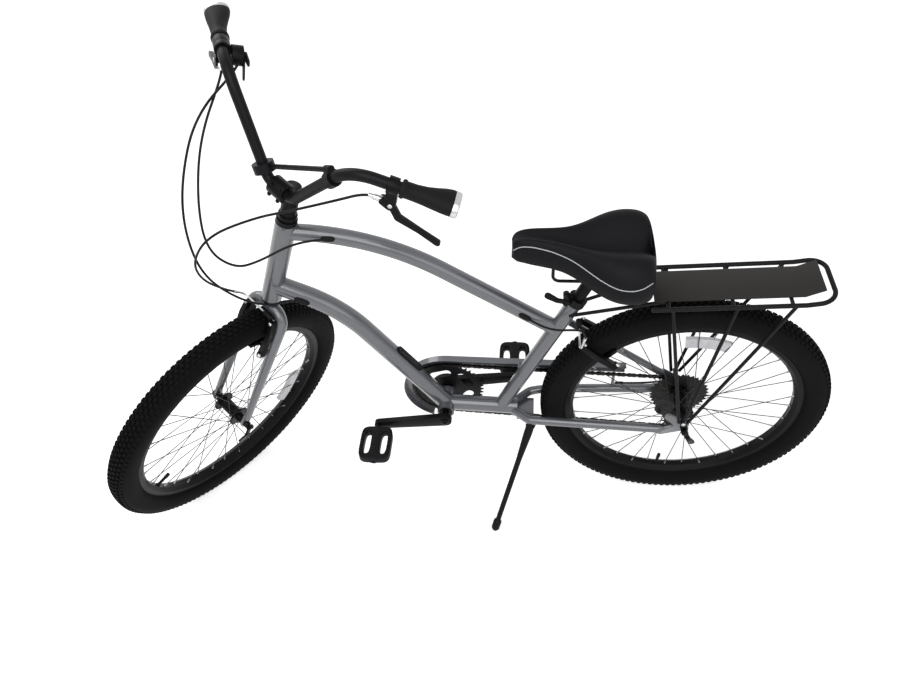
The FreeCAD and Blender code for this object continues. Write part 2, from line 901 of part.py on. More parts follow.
def noodle_points(axle, radial, tangent, lateral, side):
    depth = boss_length + seat_gap + arm_depth / 2
    base = axle + radial * (brake_circle + noodle_height) + tangent * depth
    tip = base - lateral * (side * noodle_tip_w)
    corner = base + lateral * (side * noodle_corner_w)
    return [tip, corner, corner + radial * noodle_rise + tangent * noodle_reach]


def seat_stays():
    radial, tangent = rear_brake_frame()
    pieces = []
    for side in (1, -1):
        points = seat_stay_line(side)
        tube = rod(points, seat_stay_radius, [seat_stay_bend], stay_sides)
        boss = brake_boss(rear_axle, radial, tangent, left_way, side)
        pieces += [tube, boss]
    stays = cut_by(joined(pieces), seat_tube_solid(), drop_plate(1), drop_plate(-1), chain_stays())
    return group(sorted(stays.Solids, key=lambda solid: -solid.Volume)[:1])


def fork():
    """Unicrown fork: two tapered legs whose tops bend in under the crown race, with brake bosses."""
    radial, tangent = front_brake_frame()
    steerer = cyl(head_axis(crown_t), head_axis(steerer_top), steerer_radius)
    seat = bar(head_axis(crown_t), head_axis(head_bottom - cup_height - seat_gap), crown_seat_radius)
    pieces = [steerer, seat]
    for side in (1, -1):
        top = steered(side * leg_top_w, leg_top_t, leg_top_f)
        foot = steered(side * leg_foot_w, leg_foot_t, leg_foot_f)
        shoulder = steered(side * (leg_top_w - shoulder_inset), crown_t, 0)
        pieces.append(rod([top, shoulder, head_axis(crown_t)], crown_radius, [crown_bend], tube_sides))
        pieces.append(taper(top, foot, crown_radius, leg_foot_radius, tube_sides))
        plate_y = across_way * (side * (front_drop_half + drop_thickness / 2))
        drop = front_axle + plate_y
        above = steered(0, leg_foot_t + drop_radius, leg_foot_f) + plate_y
        pieces.append(link(drop, above, drop_radius, leg_foot_radius, across_way, drop_thickness))
        pieces.append(brake_boss(front_axle, radial, tangent, across_way, side))
    body = joined(pieces)
    slot_half = axle_radius + running_gap
    for side in (1, -1):
        drop = front_axle + across_way * (side * (front_drop_half + drop_thickness / 2))
        end = drop - steer_up * (drop_radius + overrun)
        slot = link(drop, end, slot_half, slot_half, across_way, drop_thickness + overrun, slot_step)
        body = body.cut(slot)
    reach = across_way * front_drop_half
    return body.cut(cyl(front_axle - reach, front_axle + reach, hub_flange_radius + overrun))


def bar_points(side):
    return [
        steered(0, bar_clamp_t, bar_clamp_f),
        steered(side * bar_rise_w, bar_clamp_t, bar_clamp_f),
        steered(side * bar_top_w, bar_top_t, bar_top_f),
        steered(side * bar_end_w, bar_end_t, bar_end_f),
    ]


def handlebar():
    left = bar_points(1)
    right = bar_points(-1)
    points = left[:0:-1] + right[1:]
    return rod(points, bar_radius, [bar_top_bend, bar_rise_bend, bar_rise_bend, bar_top_bend], tube_sides)


def stem():
    """A column clamped on the steerer, a short neck and a split clamp with its own front cap."""
    middle = steered(0, bar_clamp_t, bar_clamp_f)
    half = stem_head_width / 2
    head = bar(middle - across_way * half, middle + across_way * half, stem_head_radius)
    foot = head_top + cup_height + seat_gap
    column = bar(head_axis(foot), head_axis(stem_top), stem_radius)
    collar = bar(head_axis(foot), head_axis(foot + stem_collar_height), stem_collar_radius)
    neck = bar(head_axis(stem_top - stem_neck_radius), middle, stem_neck_radius)
    bore = cyl(middle - across_way * bar_end_w, middle + across_way * bar_end_w, bar_radius)
    steerer = cyl(head_axis(foot), head_axis(steerer_top), steerer_radius)
    body = cut_by(joined([head, column, collar, neck]), bore, steerer)
    width = stem_head_width + overrun
    size = stem_head_radius * 2 + overrun
    corner = middle - across_way * (width / 2) - steer_up * (size / 2)
    far_corner = corner + across_way * width
    outline = [corner, far_corner, far_corner + steer_up * size, corner + steer_up * size]
    return group([body.cut(slab(outline, ahead_way * stem_cap_gap))])


def grip_frame(side):
    """The bar end, the way out along the grip, the way down to the lever, and the way to the rider."""
    top, end = bar_points(side)[2:]
    out = unit(end - top)
    down = unit(out * steer_up.dot(out) - steer_up)
    rider = unit(out.cross(down)) * side
    return end, out, down, rider


def grips():
    pieces = []
    for side in (1, -1):
        end, out, down, rider = grip_frame(side)
        start = end - out * grip_length
        tube = bar(start, end, grip_radius)
        flange = bar(start, start + out * grip_flange_length, grip_flange_radius)
        paddle_end = end - out * grip_ring_length
        paddle_start = end - out * grip_paddle_length
        reach = rider * grip_paddle_reach
        wing = [paddle_start + rider * grip_radius, paddle_end + reach, paddle_end]
        paddle = slab([paddle_start, wing[0], wing[1], wing[2]], down * grip_paddle_radius)
        paddle.translate(down * (-grip_paddle_radius / 2))
        bore = cyl(start, end, bar_radius)
        pieces.append(cut_by(joined([tube, flange, paddle]), bore))
    return group(pieces)


def bracket_centre(side):
    end, out, down, rider = grip_frame(side)
    return end - out * (grip_length + bracket_inset)


def lever_point(side, a, b):
    end, out, down, rider = grip_frame(side)
    return bracket_centre(side) + out * a + down * b


def adjuster_end(side):
    return lever_point(side, adjuster_a - adjuster_length, adjuster_b)


def control_bracket(side):
    end, out, down, rider = grip_frame(side)
    centre = bracket_centre(side)
    half = bracket_length / 2
    band = bar(centre - out * half, centre + out * half, bracket_outer)
    pivot = lever_point(side, lever_pivot_a, lever_pivot_b)
    arm = link(centre, pivot, bracket_arm_radius, bracket_arm_radius, rider, bracket_depth)
    inboard = lever_point(side, adjuster_a, adjuster_b)
    neck = link(pivot, inboard, bracket_arm_radius, adjuster_radius, rider, bracket_depth)
    barrel = bar(inboard, adjuster_end(side), adjuster_radius, stay_sides)
    slot_end = pivot + (out + down) * bracket_outer
    slot = link(pivot, slot_end, lever_root_radius + seat_gap, bracket_outer, rider, lever_slot)
    bore = cyl(centre - out * (half + overrun), centre + out * (half + overrun), bar_radius)
    pin_half = bracket_depth / 2
    pin = cyl(pivot - rider * pin_half, pivot + rider * pin_half, lever_pin_radius)
    return joined([cut_by(joined([band, arm, neck, barrel]), slot, bore), pin])


def pod_centre():
    end, out, down, rider = grip_frame(-1)
    return bracket_centre(-1) + out * pod_a + down * pod_b + rider * pod_m


def shifter_housing():
    end, out, down, rider = grip_frame(-1)
    base = pod_centre()
    pod = bar(base, base + rider * pod_thickness, pod_radius)
    ring_end = bracket_centre(-1) - out * (bracket_length / 2 + seat_gap)
    ring_start = ring_end - out * pod_ring_length
    band = bar(ring_start, ring_end, bracket_outer)
    middle = (ring_start + ring_end) / 2
    neck = bar(middle, middle + rider * (pod_m + pod_thickness / 2), pod_neck_radius, rail_sides)
    pin_length = pod_thickness + (shift_lever_thickness + seat_gap) * 2 + seat_gap
    pin = cyl(base, base + rider * pin_length, pod_pin_radius)
    bore = cyl(ring_start - out * overrun, ring_end + out * overrun, bar_radius)
    return cut_by(joined([pod, band, neck, pin]), bore)


def shift_lever(level, reach, angle):
    end, out, down, rider = grip_frame(-1)
    way = down * math.cos(math.radians(angle)) - out * math.sin(math.radians(angle))
    base = pod_centre() + rider * (pod_thickness + seat_gap + level * (shift_lever_thickness + seat_gap))
    base = base + rider * (shift_lever_thickness / 2)
    blade = link(base, base + way * reach, shift_lever_root, shift_lever_tip, rider, shift_lever_thickness)
    reach_through = rider * shift_lever_thickness
    hole = cyl(base - reach_through, base + reach_through, pod_pin_radius + running_gap)
    return blade.cut(hole)


def brake_lever(side):
    end, out, down, rider = grip_frame(side)
    places = [(lever_pivot_a, lever_pivot_b), (lever_knee_a, lever_knee_b)]
    places += [(lever_mid_a, lever_mid_b), (lever_tip_a, lever_tip_b)]
    radii = [lever_root_radius, lever_root_radius, lever_mid_radius, lever_tip_radius]
    points = [lever_point(side, a, b) for a, b in places]
    spans = zip(points, points[1:], radii, radii[1:])
    blade = joined([link(p, q, p_r, q_r, rider, lever_thickness) for p, q, p_r, q_r in spans])
    half = lever_thickness
    hole = cyl(points[0] - rider * half, points[0] + rider * half, lever_pin_radius + running_gap)
    return blade.cut(hole)


def bar_brace():
    """A slim straight brace from a round clamp beside the stem to the top of the left bend."""
    rise = unit(bar_points(-1)[2] - bar_points(-1)[1])
    middle = bar_points(-1)[1] + (bar_points(-1)[2] - bar_points(-1)[1]) * brace_clamp_share
    half = brace_clamp_width / 2
    clamp = bar(middle - rise * half, middle + rise * half, brace_clamp_radius)
    left_rise = unit(bar_points(1)[2] - bar_points(1)[1])
    seat = bar_points(1)[1] + (bar_points(1)[2] - bar_points(1)[1]) * brace_end_share
    left_out = unit(steer_up - left_rise * steer_up.dot(left_rise))
    right_out = unit(steer_up - rise * steer_up.dot(rise))
    start = middle + right_out * brace_start_rise
    end = seat + left_out * brace_end_rise
    strut = bar(start, end, brace_radius, rail_sides)
    eye = bar(seat - left_rise * half, seat + left_rise * half, bar_radius + brace_radius)
    neck = bar(seat, end, brace_eye_radius, stay_sides)
    cap_half = unit(end - start) * brace_eye_radius
    cap = bar(end - cap_half, end + cap_half, brace_eye_radius, stay_sides)
    return cut_by(joined([clamp, strut, eye, neck, cap]), handlebar())


def crank_way():
    angle = math.radians(crank_angle)
    return V(math.cos(angle), 0, math.sin(angle))


def crank_arms():
    way = crank_way()
    half = crank_thickness / 2
    left_middle = crank_centre + left_way * (crank_left_inner + half)
    right_middle = crank_centre - left_way * (crank_right_inner + half)
    reach = way * crank_length
    sizes = (crank_root_radius, crank_tip_radius, left_way, crank_thickness)
    left = link(left_middle, left_middle + reach, *sizes)
    right = link(right_middle, right_middle - reach, *sizes)
    spindle = cyl(right_middle, left_middle, spindle_radius)
    spider_face = crank_centre + left_way * (chainring_y - chainring_thickness / 2)
    spider = bar(crank_centre - left_way * crank_right_inner, spider_face, spider_radius, hub_sides)
    stubs = []
    for side, middle, end_way in ((1, left_middle, way), (-1, right_middle, way * -1)):
        tip = middle + end_way * crank_length
        outer = tip + left_way * (side * (half + pedal_gap + pedal_length))
        stubs.append(cyl(tip, outer, pedal_axle_radius))
    return joined([left, right, spindle, spider] + stubs)


def pedal_frame(side):
    inner = crank_left_inner if side > 0 else crank_right_inner
    tip = crank_centre + crank_way() * (side * crank_length)
    return tip + left_way * (side * (inner + crank_thickness + pedal_gap))


def pedal(side):
    """A platform pedal: a core on the axle, inner and outer end plates, and front and rear rails."""
    start = pedal_frame(side)
    out = left_way * side
    long_way = V(1, 0, 0)
    up = V(0, 0, 1)
    core = bar(start, start + out * pedal_length, pedal_core_radius, stay_sides)
    corner = start - long_way * (pedal_width / 2) - up * (pedal_height / 2)

    def block(a, b, width, depth):
        foot = corner + long_way * a + out * b
        side = foot + long_way * width
        return slab([foot, side, side + out * depth, foot + out * depth], up * pedal_height)

    rails = [block(a, 0, pedal_rail, pedal_length) for a in (0, pedal_width - pedal_rail)]
    ends = [block(0, b, pedal_width, pedal_rail) for b in (0, pedal_length - pedal_rail)]
    bore = cyl(start, start + out * pedal_length, pedal_axle_radius + running_gap)
    return joined([core] + rails + ends).cut(bore)


def bottom_bracket():
    pieces = []
    for side in (1, -1):
        outer = crank_centre + left_way * (side * shell_half)
        inner = crank_centre + left_way * (side * (shell_half - bearing_length))
        pieces.append(ring(inner, outer, bearing_outer, spindle_radius + running_gap))
    return group(pieces)


def pitch_radius(teeth):
    return chain_pitch / (2 * math.sin(math.pi / teeth))


def toothed(centre, teeth, first_gap, thickness, full):
    """A sprocket disc: full teeth have a flat seat and a blunt tip, plain ones are simple points."""
    radius = pitch_radius(teeth)
    outline = []
    for count in range(teeth):
        gap = first_gap + 2 * math.pi * count / teeth
        tip = gap + math.pi / teeth
        if full:
            seat_ends = [(gap, way * tooth_seat_half, -tooth_seat_depth) for way in (-1, 1)]
            tip_ends = [(tip, way * tooth_tip_half, tooth_tip_height) for way in (-1, 1)]
            for angle, across, out in seat_ends + tip_ends:
                along = V(math.cos(angle), 0, math.sin(angle))
                cross = V(-math.sin(angle), 0, math.cos(angle))
                outline.append(centre + along * (radius + out) + cross * across)
        else:
            for angle, out in ((gap, -tooth_seat_depth), (tip, tooth_tip_height)):
                outline.append(centre + V(math.cos(angle), 0, math.sin(angle)) * (radius + out))
    disc = slab(outline, left_way * thickness)
    disc.translate(left_way * (-thickness / 2))
    return disc


def wrap_circles(cage_angle):
    """The pitch circles that the chain runs round, in its order, with a sign for the way it turns."""
    angle = math.radians(cage_angle)
    guide = rear_axle + guide_from_axle
    tension = guide + V(math.cos(angle), 0, math.sin(angle)) * cage_length
    return [
        (crank_centre, pitch_radius(chainring_teeth)),
        (rear_axle, pitch_radius(sprocket_teeth[drive_sprocket])),
        (guide, -pitch_radius(pulley_teeth)),
        (tension, pitch_radius(pulley_teeth)),
    ]


def chain_path(cage_angle):
    """Straight tangents and pitch-circle arcs as (length, place at a length) pairs."""
    circles = wrap_circles(cage_angle)
    ways = []
    for (c1, s1), (c2, s2) in zip(circles, circles[1:] + circles[:1]):
        between = c2 - c1
        heading = math.atan2(between.z, between.x) + math.asin((s1 - s2) / between.Length)
        ways.append(heading)
    pieces = []
    for index, (centre, signed) in enumerate(circles):
        came = ways[index - 1]
        goes = ways[index]
        sweep = (goes - came) % (2 * math.pi) if signed > 0 else -((came - goes) % (2 * math.pi))

        def on_arc(length, centre=centre, signed=signed, came=came):
            heading = came + length / signed
            return centre + V(math.sin(heading), 0, -math.cos(heading)) * signed

        pieces.append((abs(sweep * signed), on_arc))
        after, after_signed = circles[(index + 1) % len(circles)]
        right = V(math.sin(goes), 0, -math.cos(goes))
        start = centre + right * signed
        end = after + right * after_signed
        way = unit(end - start)
        pieces.append(((end - start).Length, lambda length, start=start, way=way: start + way * length))
    return pieces


def walk_chain(cage_angle):
    """Joint places one pitch apart along the path, and the shortfall where the loop closes."""
    pieces = chain_path(cage_angle)
    total = sum(length for length, place in pieces)

    def at(s):
        s = s % total
        for length, place in pieces:
            if s <= length:
                return place(s)
            s -= length
        return pieces[-1][1](pieces[-1][0])

    joints = [at(0)]
    s = 0
    while s < total - chain_pitch / 2:
        low = s + chain_pitch * link_low_share
        high = s + chain_pitch * link_high_share
        for step in range(halvings):
            middle = (low + high) / 2
            if (at(middle) - joints[-1]).Length < chain_pitch:
                low = middle
            else:
                high = middle
        s = low
        joints.append(at(s))
    return joints[:-1], s - total


def chain_joints():
    """The cage angle at which an even number of links closes the loop, and the joints there."""
    swing = (cage_high_angle - cage_low_angle) / cage_trials
    angles = [cage_low_angle + swing * k for k in range(cage_trials + 1)]
    walks = [walk_chain(angle) for angle in angles]
    for (low, low_walk), (high, high_walk) in zip(zip(angles, walks), zip(angles[1:], walks[1:])):
        same = len(low_walk[0]) == len(high_walk[0])
        even = len(low_walk[0]) % 2 == 0
        if same and even and low_walk[1] * high_walk[1] <= 0:
            rising = high_walk[1] > low_walk[1]
            for step in range(halvings):
                middle = (low + high) / 2
                above = walk_chain(middle)[1] > 0
                if above == rising:
                    high = middle
                else:
                    low = middle
            return low, walk_chain(low)[0]
    raise ValueError("no cage angle closes the chain on an even number of links")


cage_angle, chain_places = chain_joints()
guide_centre = rear_axle + guide_from_axle
tension_centre = wrap_circles(cage_angle)[3][0]


def seat_angle(centre, teeth):
    """The angle of a joint that lies on a wheel's pitch circle, where a tooth gap must be."""
    nearest = min(chain_places, key=lambda p: abs((p - centre).Length - pitch_radius(teeth)))
    return math.atan2(nearest.z - centre.z, nearest.x - centre.x)


def chain():
    """Roller chain: inner links with rollers alternate with outer links, one pitch each."""
    line = left_way * chainring_y
    solids = []
    count = len(chain_places)
    for index, start in enumerate(chain_places):
        end = chain_places[(index + 1) % count]
        along = unit(end - start)
        up = left_way.cross(along)
        inner = index % 2 == 0
        face = link_inner if inner else link_inner + link_plate + link_play
        tip = along * link_end
        half = up * link_half_height
        outline = [start - tip - half, end + tip - half, end + tip + half, start - tip + half]
        for side in (1, -1):
            shift = line + left_way * (side * face)
            solids.append(slab([p + shift for p in outline], left_way * (side * link_plate)))
        if inner:
            for middle in (start, end):
                foot = middle + line - left_way * link_inner
                outline = corners(foot, left_way, roller_radius, roller_sides)
                solids.append(slab(outline, left_way * (link_inner * 2)))
    return group(solids)


def chainring():
    """The toothed ring with its slotted web, carried by the spider's edge."""
    centre = crank_centre + left_way * chainring_y
    gap = seat_angle(crank_centre, chainring_teeth)
    disc = toothed(centre, chainring_teeth, gap, chainring_thickness, True)
    half = chainring_thickness
    cutters = [cyl(centre - left_way * half, centre + left_way * half, spindle_radius * 2)]
    for count in range(ring_slots):
        middle = 360 / ring_slots * count
        ends = []
        for angle in (middle - ring_slot_half_angle, middle + ring_slot_half_angle):
            turned_by = math.radians(angle)
            ends.append(centre + V(math.cos(turned_by), 0, math.sin(turned_by)) * ring_slot_circle)
        cutters.append(link(ends[0], ends[1], ring_slot_radius, ring_slot_radius, left_way, half * 2))
    return cut_by(disc, *cutters)


def cassette():
    """Seven sprockets on one core, the fourth in line with the chain."""
    first_y = chainring_y + drive_sprocket * sprocket_spacing
    last_y = first_y - (len(sprocket_teeth) - 1) * sprocket_spacing
    inner = rear_axle + left_way * (first_y + sprocket_spacing / 2)
    outer = rear_axle + left_way * (last_y - sprocket_spacing / 2)
    pieces = [bar(inner, outer, cassette_core_radius, stay_sides)]
    for index, teeth in enumerate(sprocket_teeth):
        centre = rear_axle + left_way * (first_y - index * sprocket_spacing)
        driven = index == drive_sprocket
        gap = seat_angle(rear_axle, teeth) if driven else 0
        pieces.append(toothed(centre, teeth, gap, sprocket_thickness, driven))
    return joined(pieces).cut(cyl(inner, outer, axle_radius + running_gap))


def pulley(centre):
    middle = centre + left_way * chainring_y
    disc = toothed(middle, pulley_teeth, seat_angle(centre, pulley_teeth), sprocket_thickness, True)
    half = cage_half_gap - seat_gap
    boss = bar(middle - left_way * half, middle + left_way * half, cage_pin_radius * 2, stay_sides)
    return disc.fuse(boss).cut(cyl(middle - left_way * half, middle + left_way * half, pulley_bore))


def derailleur_cage():
    line = left_way * chainring_y
    pieces = []
    for side in (1, -1):
        offset = line + left_way * (side * (cage_half_gap + cage_plate / 2))
        ends = (guide_centre + offset, tension_centre + offset)
        pieces.append(link(*ends, cage_radius, cage_radius, left_way, cage_plate))
    reach = left_way * (cage_half_gap + cage_plate)
    for centre in (guide_centre, tension_centre):
        pieces.append(cyl(centre + line - reach, centre + line + reach, cage_pin_radius))
    return joined(pieces)


def derailleur_body():
    """Two knuckles joined by a pair of parallel links, hung from the dropout's hanger."""
    hanger = rear_axle + hanger_from_axle - left_way * (rear_drop_half + drop_thickness)
    cage_face = guide_centre + left_way * (chainring_y - cage_half_gap - cage_plate - seat_gap)
    reach = left_way * knuckle_length
    pieces = [bar(start, start - reach, knuckle_radius) for start in (hanger, cage_face)]
    start = hanger - reach * knuckle_share
    end = cage_face - reach * knuckle_share
    cross = unit(left_way.cross(end - start))
    for offset in (knuckle_radius - derailleur_link, derailleur_link - knuckle_radius):
        shift = cross * offset
        radius = derailleur_link_radius
        pieces.append(link(start + shift, end + shift, radius, radius, cross, derailleur_link))
    return joined(pieces)


def guard_path(radius, drop):
    """The guard's edge: a tangent from its rear end to a circle about the crank, then round the front."""
    rear = rear_axle + V(guard_rear_x, 0, guard_rear_rise - drop)
    between = crank_centre - rear
    heading = math.atan2(between.z, between.x)
    angle = heading - math.acos(radius / between.Length) + math.pi
    touch = crank_centre + V(math.cos(angle), 0, math.sin(angle)) * radius
    front_angle = math.radians(guard_front_angle)
    middle_angle = (angle + front_angle) / 2
    middle = crank_centre + V(math.cos(middle_angle), 0, math.sin(middle_angle)) * radius
    front = crank_centre + V(math.cos(front_angle), 0, math.sin(front_angle)) * radius
    return rear, touch, middle, front


def guard_band(outer_drop, outer_radius, inner_drop, inner_radius, y, depth):
    rear, touch, middle, front = guard_path(outer_radius, outer_drop)
    low_rear, low_touch, low_middle, low_front = guard_path(inner_radius, inner_drop)
    edges = [
        Part.LineSegment(rear, touch).toShape(),
        Part.Arc(touch, middle, front).toShape(),
        Part.LineSegment(front, low_front).toShape(),
        Part.Arc(low_front, low_middle, low_touch).toShape(),
        Part.LineSegment(low_touch, low_rear).toShape(),
        Part.LineSegment(low_rear, rear).toShape(),
    ]
    face = Part.Face(Part.Wire(edges))
    face.translate(left_way * y)
    return face.extrude(left_way * depth)


def chain_guard():
    """An angle-section guard over the upper chain run and round the front of the chainring."""
    width = guard_inner_y - guard_outer_y
    side = guard_band(0, guard_radius, guard_depth, guard_radius - guard_depth, guard_outer_y, guard_wall)
    top = guard_band(0, guard_radius, guard_wall, guard_radius - guard_wall, guard_outer_y, width)
    rear, touch, middle, front = guard_path(guard_radius - guard_wall / 2, guard_wall / 2)
    seat_point = seat_tube_point(guard_lug_rise)
    lug_share = (seat_point.x - rear.x) / (touch.x - rear.x)
    lug_end = rear + (touch - rear) * lug_share + left_way * guard_inner_y
    lug = bar(seat_point, lug_end - left_way * guard_stay_radius, guard_stay_radius, rail_sides)
    stay_y = guard_outer_y - guard_stay_radius
    stay_foot = V(guard_stay_x, stay_y, chain_stay_points[3].z)
    stay_top = V(guard_stay_x, stay_y, wheel_radius + guard_rear_rise - guard_stay_radius)
    stay = bar(stay_foot, stay_top, guard_stay_radius, rail_sides)
    tube = rod([flipped(p) for p in chain_stay_points], chain_stay_radius, chain_stay_bends, stay_sides)
    return cut_by(joined([side, top, lug, stay]), tube, seat_tube_solid())


def kick_ways():
    down = unit(kick_foot - kick_pivot)
    folded = unit(kick_folded_shares)
    return down, folded, unit(down.cross(folded))


def foot_outline():
    length = kick_foot_length
    chamfer = kick_foot_chamfer
    upper = [(-length, 0), (-length, kick_foot_tip), (chamfer - length, kick_foot_radius)]
    return upper + [(-chamfer, kick_foot_radius), (0, kick_foot_tip), (0, 0)]


def kickstand_leg():
    down, folded, hinge = kick_ways()
    half = kick_knuckle_half
    knuckle = bar(kick_pivot - hinge * half, kick_pivot + hinge * half, kick_knuckle_radius)
    foot_top = kick_foot - down * kick_foot_length
    shank = taper(kick_pivot, foot_top, kick_radius, kick_tip_radius, stay_sides)
    shoe = turned(foot_outline(), kick_foot, down)
    bore = cyl(kick_pivot - hinge * half, kick_pivot + hinge * half, kick_pin_radius + running_gap)
    return joined([knuckle, shank, shoe]).cut(bore)


def kickstand_bracket():
    down, folded, hinge = kick_ways()
    inner = kick_pivot - hinge * (kick_knuckle_half + seat_gap)
    outer = kick_pivot + hinge * (kick_knuckle_half + seat_gap)
    block = bar(inner - hinge * kick_block, inner, kick_knuckle_radius)
    pin = cyl(inner, outer + hinge * kick_head, kick_pin_radius)
    head = bar(outer, outer + hinge * kick_head, kick_head_radius, stay_sides)
    post_foot = inner - hinge * (kick_block * kick_post_share)
    plate_top = V(wheel_radius + kick_post_ahead, kick_post_y, boom_rear.z - yoke_drop)
    plate_foot = plate_top - V(0, 0, kick_head)
    post = bar(post_foot, plate_foot - V(0, 0, seat_gap), kick_post_radius, stay_sides)
    plate = bar(plate_foot, plate_top, kick_plate_radius)
    return joined([block, pin, head, post, plate])


def seat_post_top():
    return seat_tube_point(post_top_rise)


def seat_post():
    return cyl(seat_tube_top - seat_up * post_below, seat_post_top(), post_radius)


def collar_ear_place():
    ahead = unit(left_way.cross(seat_up))
    middle = seat_tube_top + seat_up * (collar_height / 2 - overrun)
    return middle + ahead * (collar_outer + collar_ear_radius / 2)


def seat_collar():
    """A split clamp round the top of the seat tube, with an ear for its lever at the front."""
    foot = seat_tube_top - seat_up * overrun
    top = foot + seat_up * collar_height
    band = bar(foot, top, collar_outer)
    ear = collar_ear_place()
    lug = bar(ear - left_way * collar_ear, ear + left_way * collar_ear, collar_ear_radius, stay_sides)
    slit_way = unit(left_way.cross(seat_up))
    corner = foot - left_way * (collar_slit / 2) - seat_up * overrun
    reach = collar_outer + collar_ear_radius * 2
    ends = [corner, corner + slit_way * reach]
    outline = ends + [end + left_way * collar_slit for end in ends[::-1]]
    slit = slab(outline, seat_up * (collar_height + overrun * 2))
    post_hole = cyl(seat_tube_top, top, post_radius + running_gap)
    hollow = joined([cyl(foot, seat_tube_top, seat_tube_radius), post_hole])
    return cut_by(joined([band, lug]), hollow, slit)


def collar_lever():
    seat = collar_ear_place() + left_way * collar_ear
    return skewer_lever(seat, left_way, unit(left_way.cross(seat_up)))


def saddle_nose_x():
    """The clamp holds the saddle at one share of its length."""
    return seat_post_top().x + saddle_length * saddle_clamp_share


def saddle_place(index):
    """Station, half width, floor, height and channel depth of one cross section."""
    x = saddle_nose_x() - saddle_length * saddle_station_shares[index]
    half = saddle_half_width * saddle_width_shares[index]
    floor = wheel_radius + saddle_bottom_rise + saddle_height * saddle_floor_shares[index]
    height = saddle_height * (saddle_top_shares[index] - saddle_floor_shares[index])
    return x, half, floor, height, saddle_height * saddle_dip_shares[index]


def cover_ring(index):
    """Drawn-in sides, two crowned lobes and the channel between them."""
    x, half, floor, height, dip = saddle_place(index)
    shares = saddle_side_shares + saddle_lobe_shares
    left = [V(x, half * y, floor + height * z - dip * d) for y, z, d in shares]
    return left + [flipped(point) for point in left[-2::-1]]


def base_ring(index):
    x, half, floor, height, dip = saddle_place(index)
    wide = half * saddle_base_share
    top = floor - seat_gap
    low = top - saddle_base_thickness
    return [V(x, -wide, low), V(x, wide, low), V(x, wide, top), V(x, -wide, top)]


def saddle_cover():
    return skinned([cover_ring(k) for k in range(len(saddle_station_shares))])


def saddle_frame():
    """The moulded base, two rails under it and the clamp that holds them on the post."""
    pieces = [skinned([base_ring(k) for k in range(len(saddle_station_shares))])]
    clamp = seat_post_top()
    for side in (1, -1):
        gauge = side * rail_gauge
        nose = V(saddle_nose_x(), gauge, rail_z)
        front = nose - V(saddle_length * rail_front_share, 0, 0)
        rear = nose - V(saddle_length * rail_rear_share, 0, 0)
        points = [front + V(0, 0, rail_rise), front, rear, rear + V(0, 0, rail_rear_rise)]
        pieces.append(rod(points, rail_radius, [rail_bend, rail_rear_bend], rail_sides))
    head = bar(V(clamp.x, -clamp_half, rail_z), V(clamp.x, clamp_half, rail_z), clamp_radius)
    post = cyl(seat_tube_top, clamp, post_radius)
    pieces.append(head.cut(post))
    return joined(pieces)


def rack_level(x):
    share = (x - rack_front_x) / (rack_kick_x - rack_front_x)
    return 2 * wheel_radius + rack_front_gap + (rack_kick_gap - rack_front_gap) * share


def rack_frame():
    """One bent rail round the deck, its cross bars, three struts a side and two stays to the seat tube."""
    half = rack_half_width
    places = [(rack_front_x, rack_front_gap), (rack_kick_x, rack_kick_gap), (rack_rear_x, rack_rear_gap)]
    left = [V(x, half, 2 * wheel_radius + gap) for x, gap in places]
    points = left + [flipped(point) for point in left[::-1]]
    pieces = [rod(points, rack_rail_radius, [rack_corner] * len(points[1:-1]), rail_facets)]
    for x in cross_bar_x:
        end = V(x, half, rack_level(x))
        pieces.append(bar(flipped(end), end, cross_radius, strut_sides))
    for side in (1, -1):
        for top_x, foot_x in zip(strut_top_x, strut_foot_x):
            foot = V(foot_x, side * strut_foot_y, strut_foot_z)
            pieces.append(bar(foot, V(top_x, side * half, rack_level(top_x)), strut_radius, strut_sides))
        eyelet = V(strut_foot_x[1], side * (rear_drop_half + drop_thickness), strut_foot_z)
        eyelet_end = V(strut_foot_x[1], side * (strut_foot_y + strut_radius), strut_foot_z)
        pieces.append(bar(eyelet, eyelet_end, eyelet_radius, rail_sides))
        inward = V(cross_bar_x[0], side * rack_stay_y, rack_level(cross_bar_x[0]))
        seat_side = seat_tube_point(rack_stay_rise) + left_way * (side * seat_tube_radius * rack_stay_share)
        pieces.append(bar(inward, seat_side, cross_radius, strut_sides))
    return largest(cut_by(joined(pieces), seat_tube_solid()))


def rack_deck():
    """The sheet deck on the cross bars, turned up at its rear end."""
    lift = cross_radius + running_gap
    front_x = rack_front_x - deck_front_inset
    rear_x = rack_rear_x + deck_rear_inset
    places = [(front_x, 0), (rack_kick_x, 0), (rear_x, deck_lip)]
    upper = [V(x, -deck_half_width, rack_level(x) + lift + rise + deck_thickness) for x, rise in places]
    lower = [p - V(0, 0, deck_thickness) for p in upper]
    return slab(upper + lower[::-1], left_way * (deck_half_width * 2))


def down_way():
    return unit(crank_centre - down_tube_corner)


def mount_middle():
    along = down_way()
    out = V(along.z, 0, -along.x)
    return crank_centre - along * mount_distance, along, out * math.copysign(1, out.z)


def bolt_holes():
    """The two bottle bolt holes, through the strip and down into the tube."""
    middle, along, out = mount_middle()
    foot = middle + out * (down_tube_radius - bolt_depth)
    top = middle + out * (down_tube_radius + mount_thickness)
    half = along * (boss_pitch / 2)
    return [cyl(foot + way, top + way, boss_hole_radius) for way in (half * -1, half)]


def bottle_mount():
    """A padded strip on the down tube with two threaded holes for a bottle cage."""
    middle, along, out = mount_middle()
    end_radius = mount_width / 2
    half = along * (boss_pitch / 2 + mount_end - end_radius)
    base = middle + out * (down_tube_radius - mount_thickness / 2)
    strip = link(base - half, base + half, end_radius, end_radius, out, mount_thickness * 2)
    return largest(cut_by(strip, down_tube_solid(), *bolt_holes()))


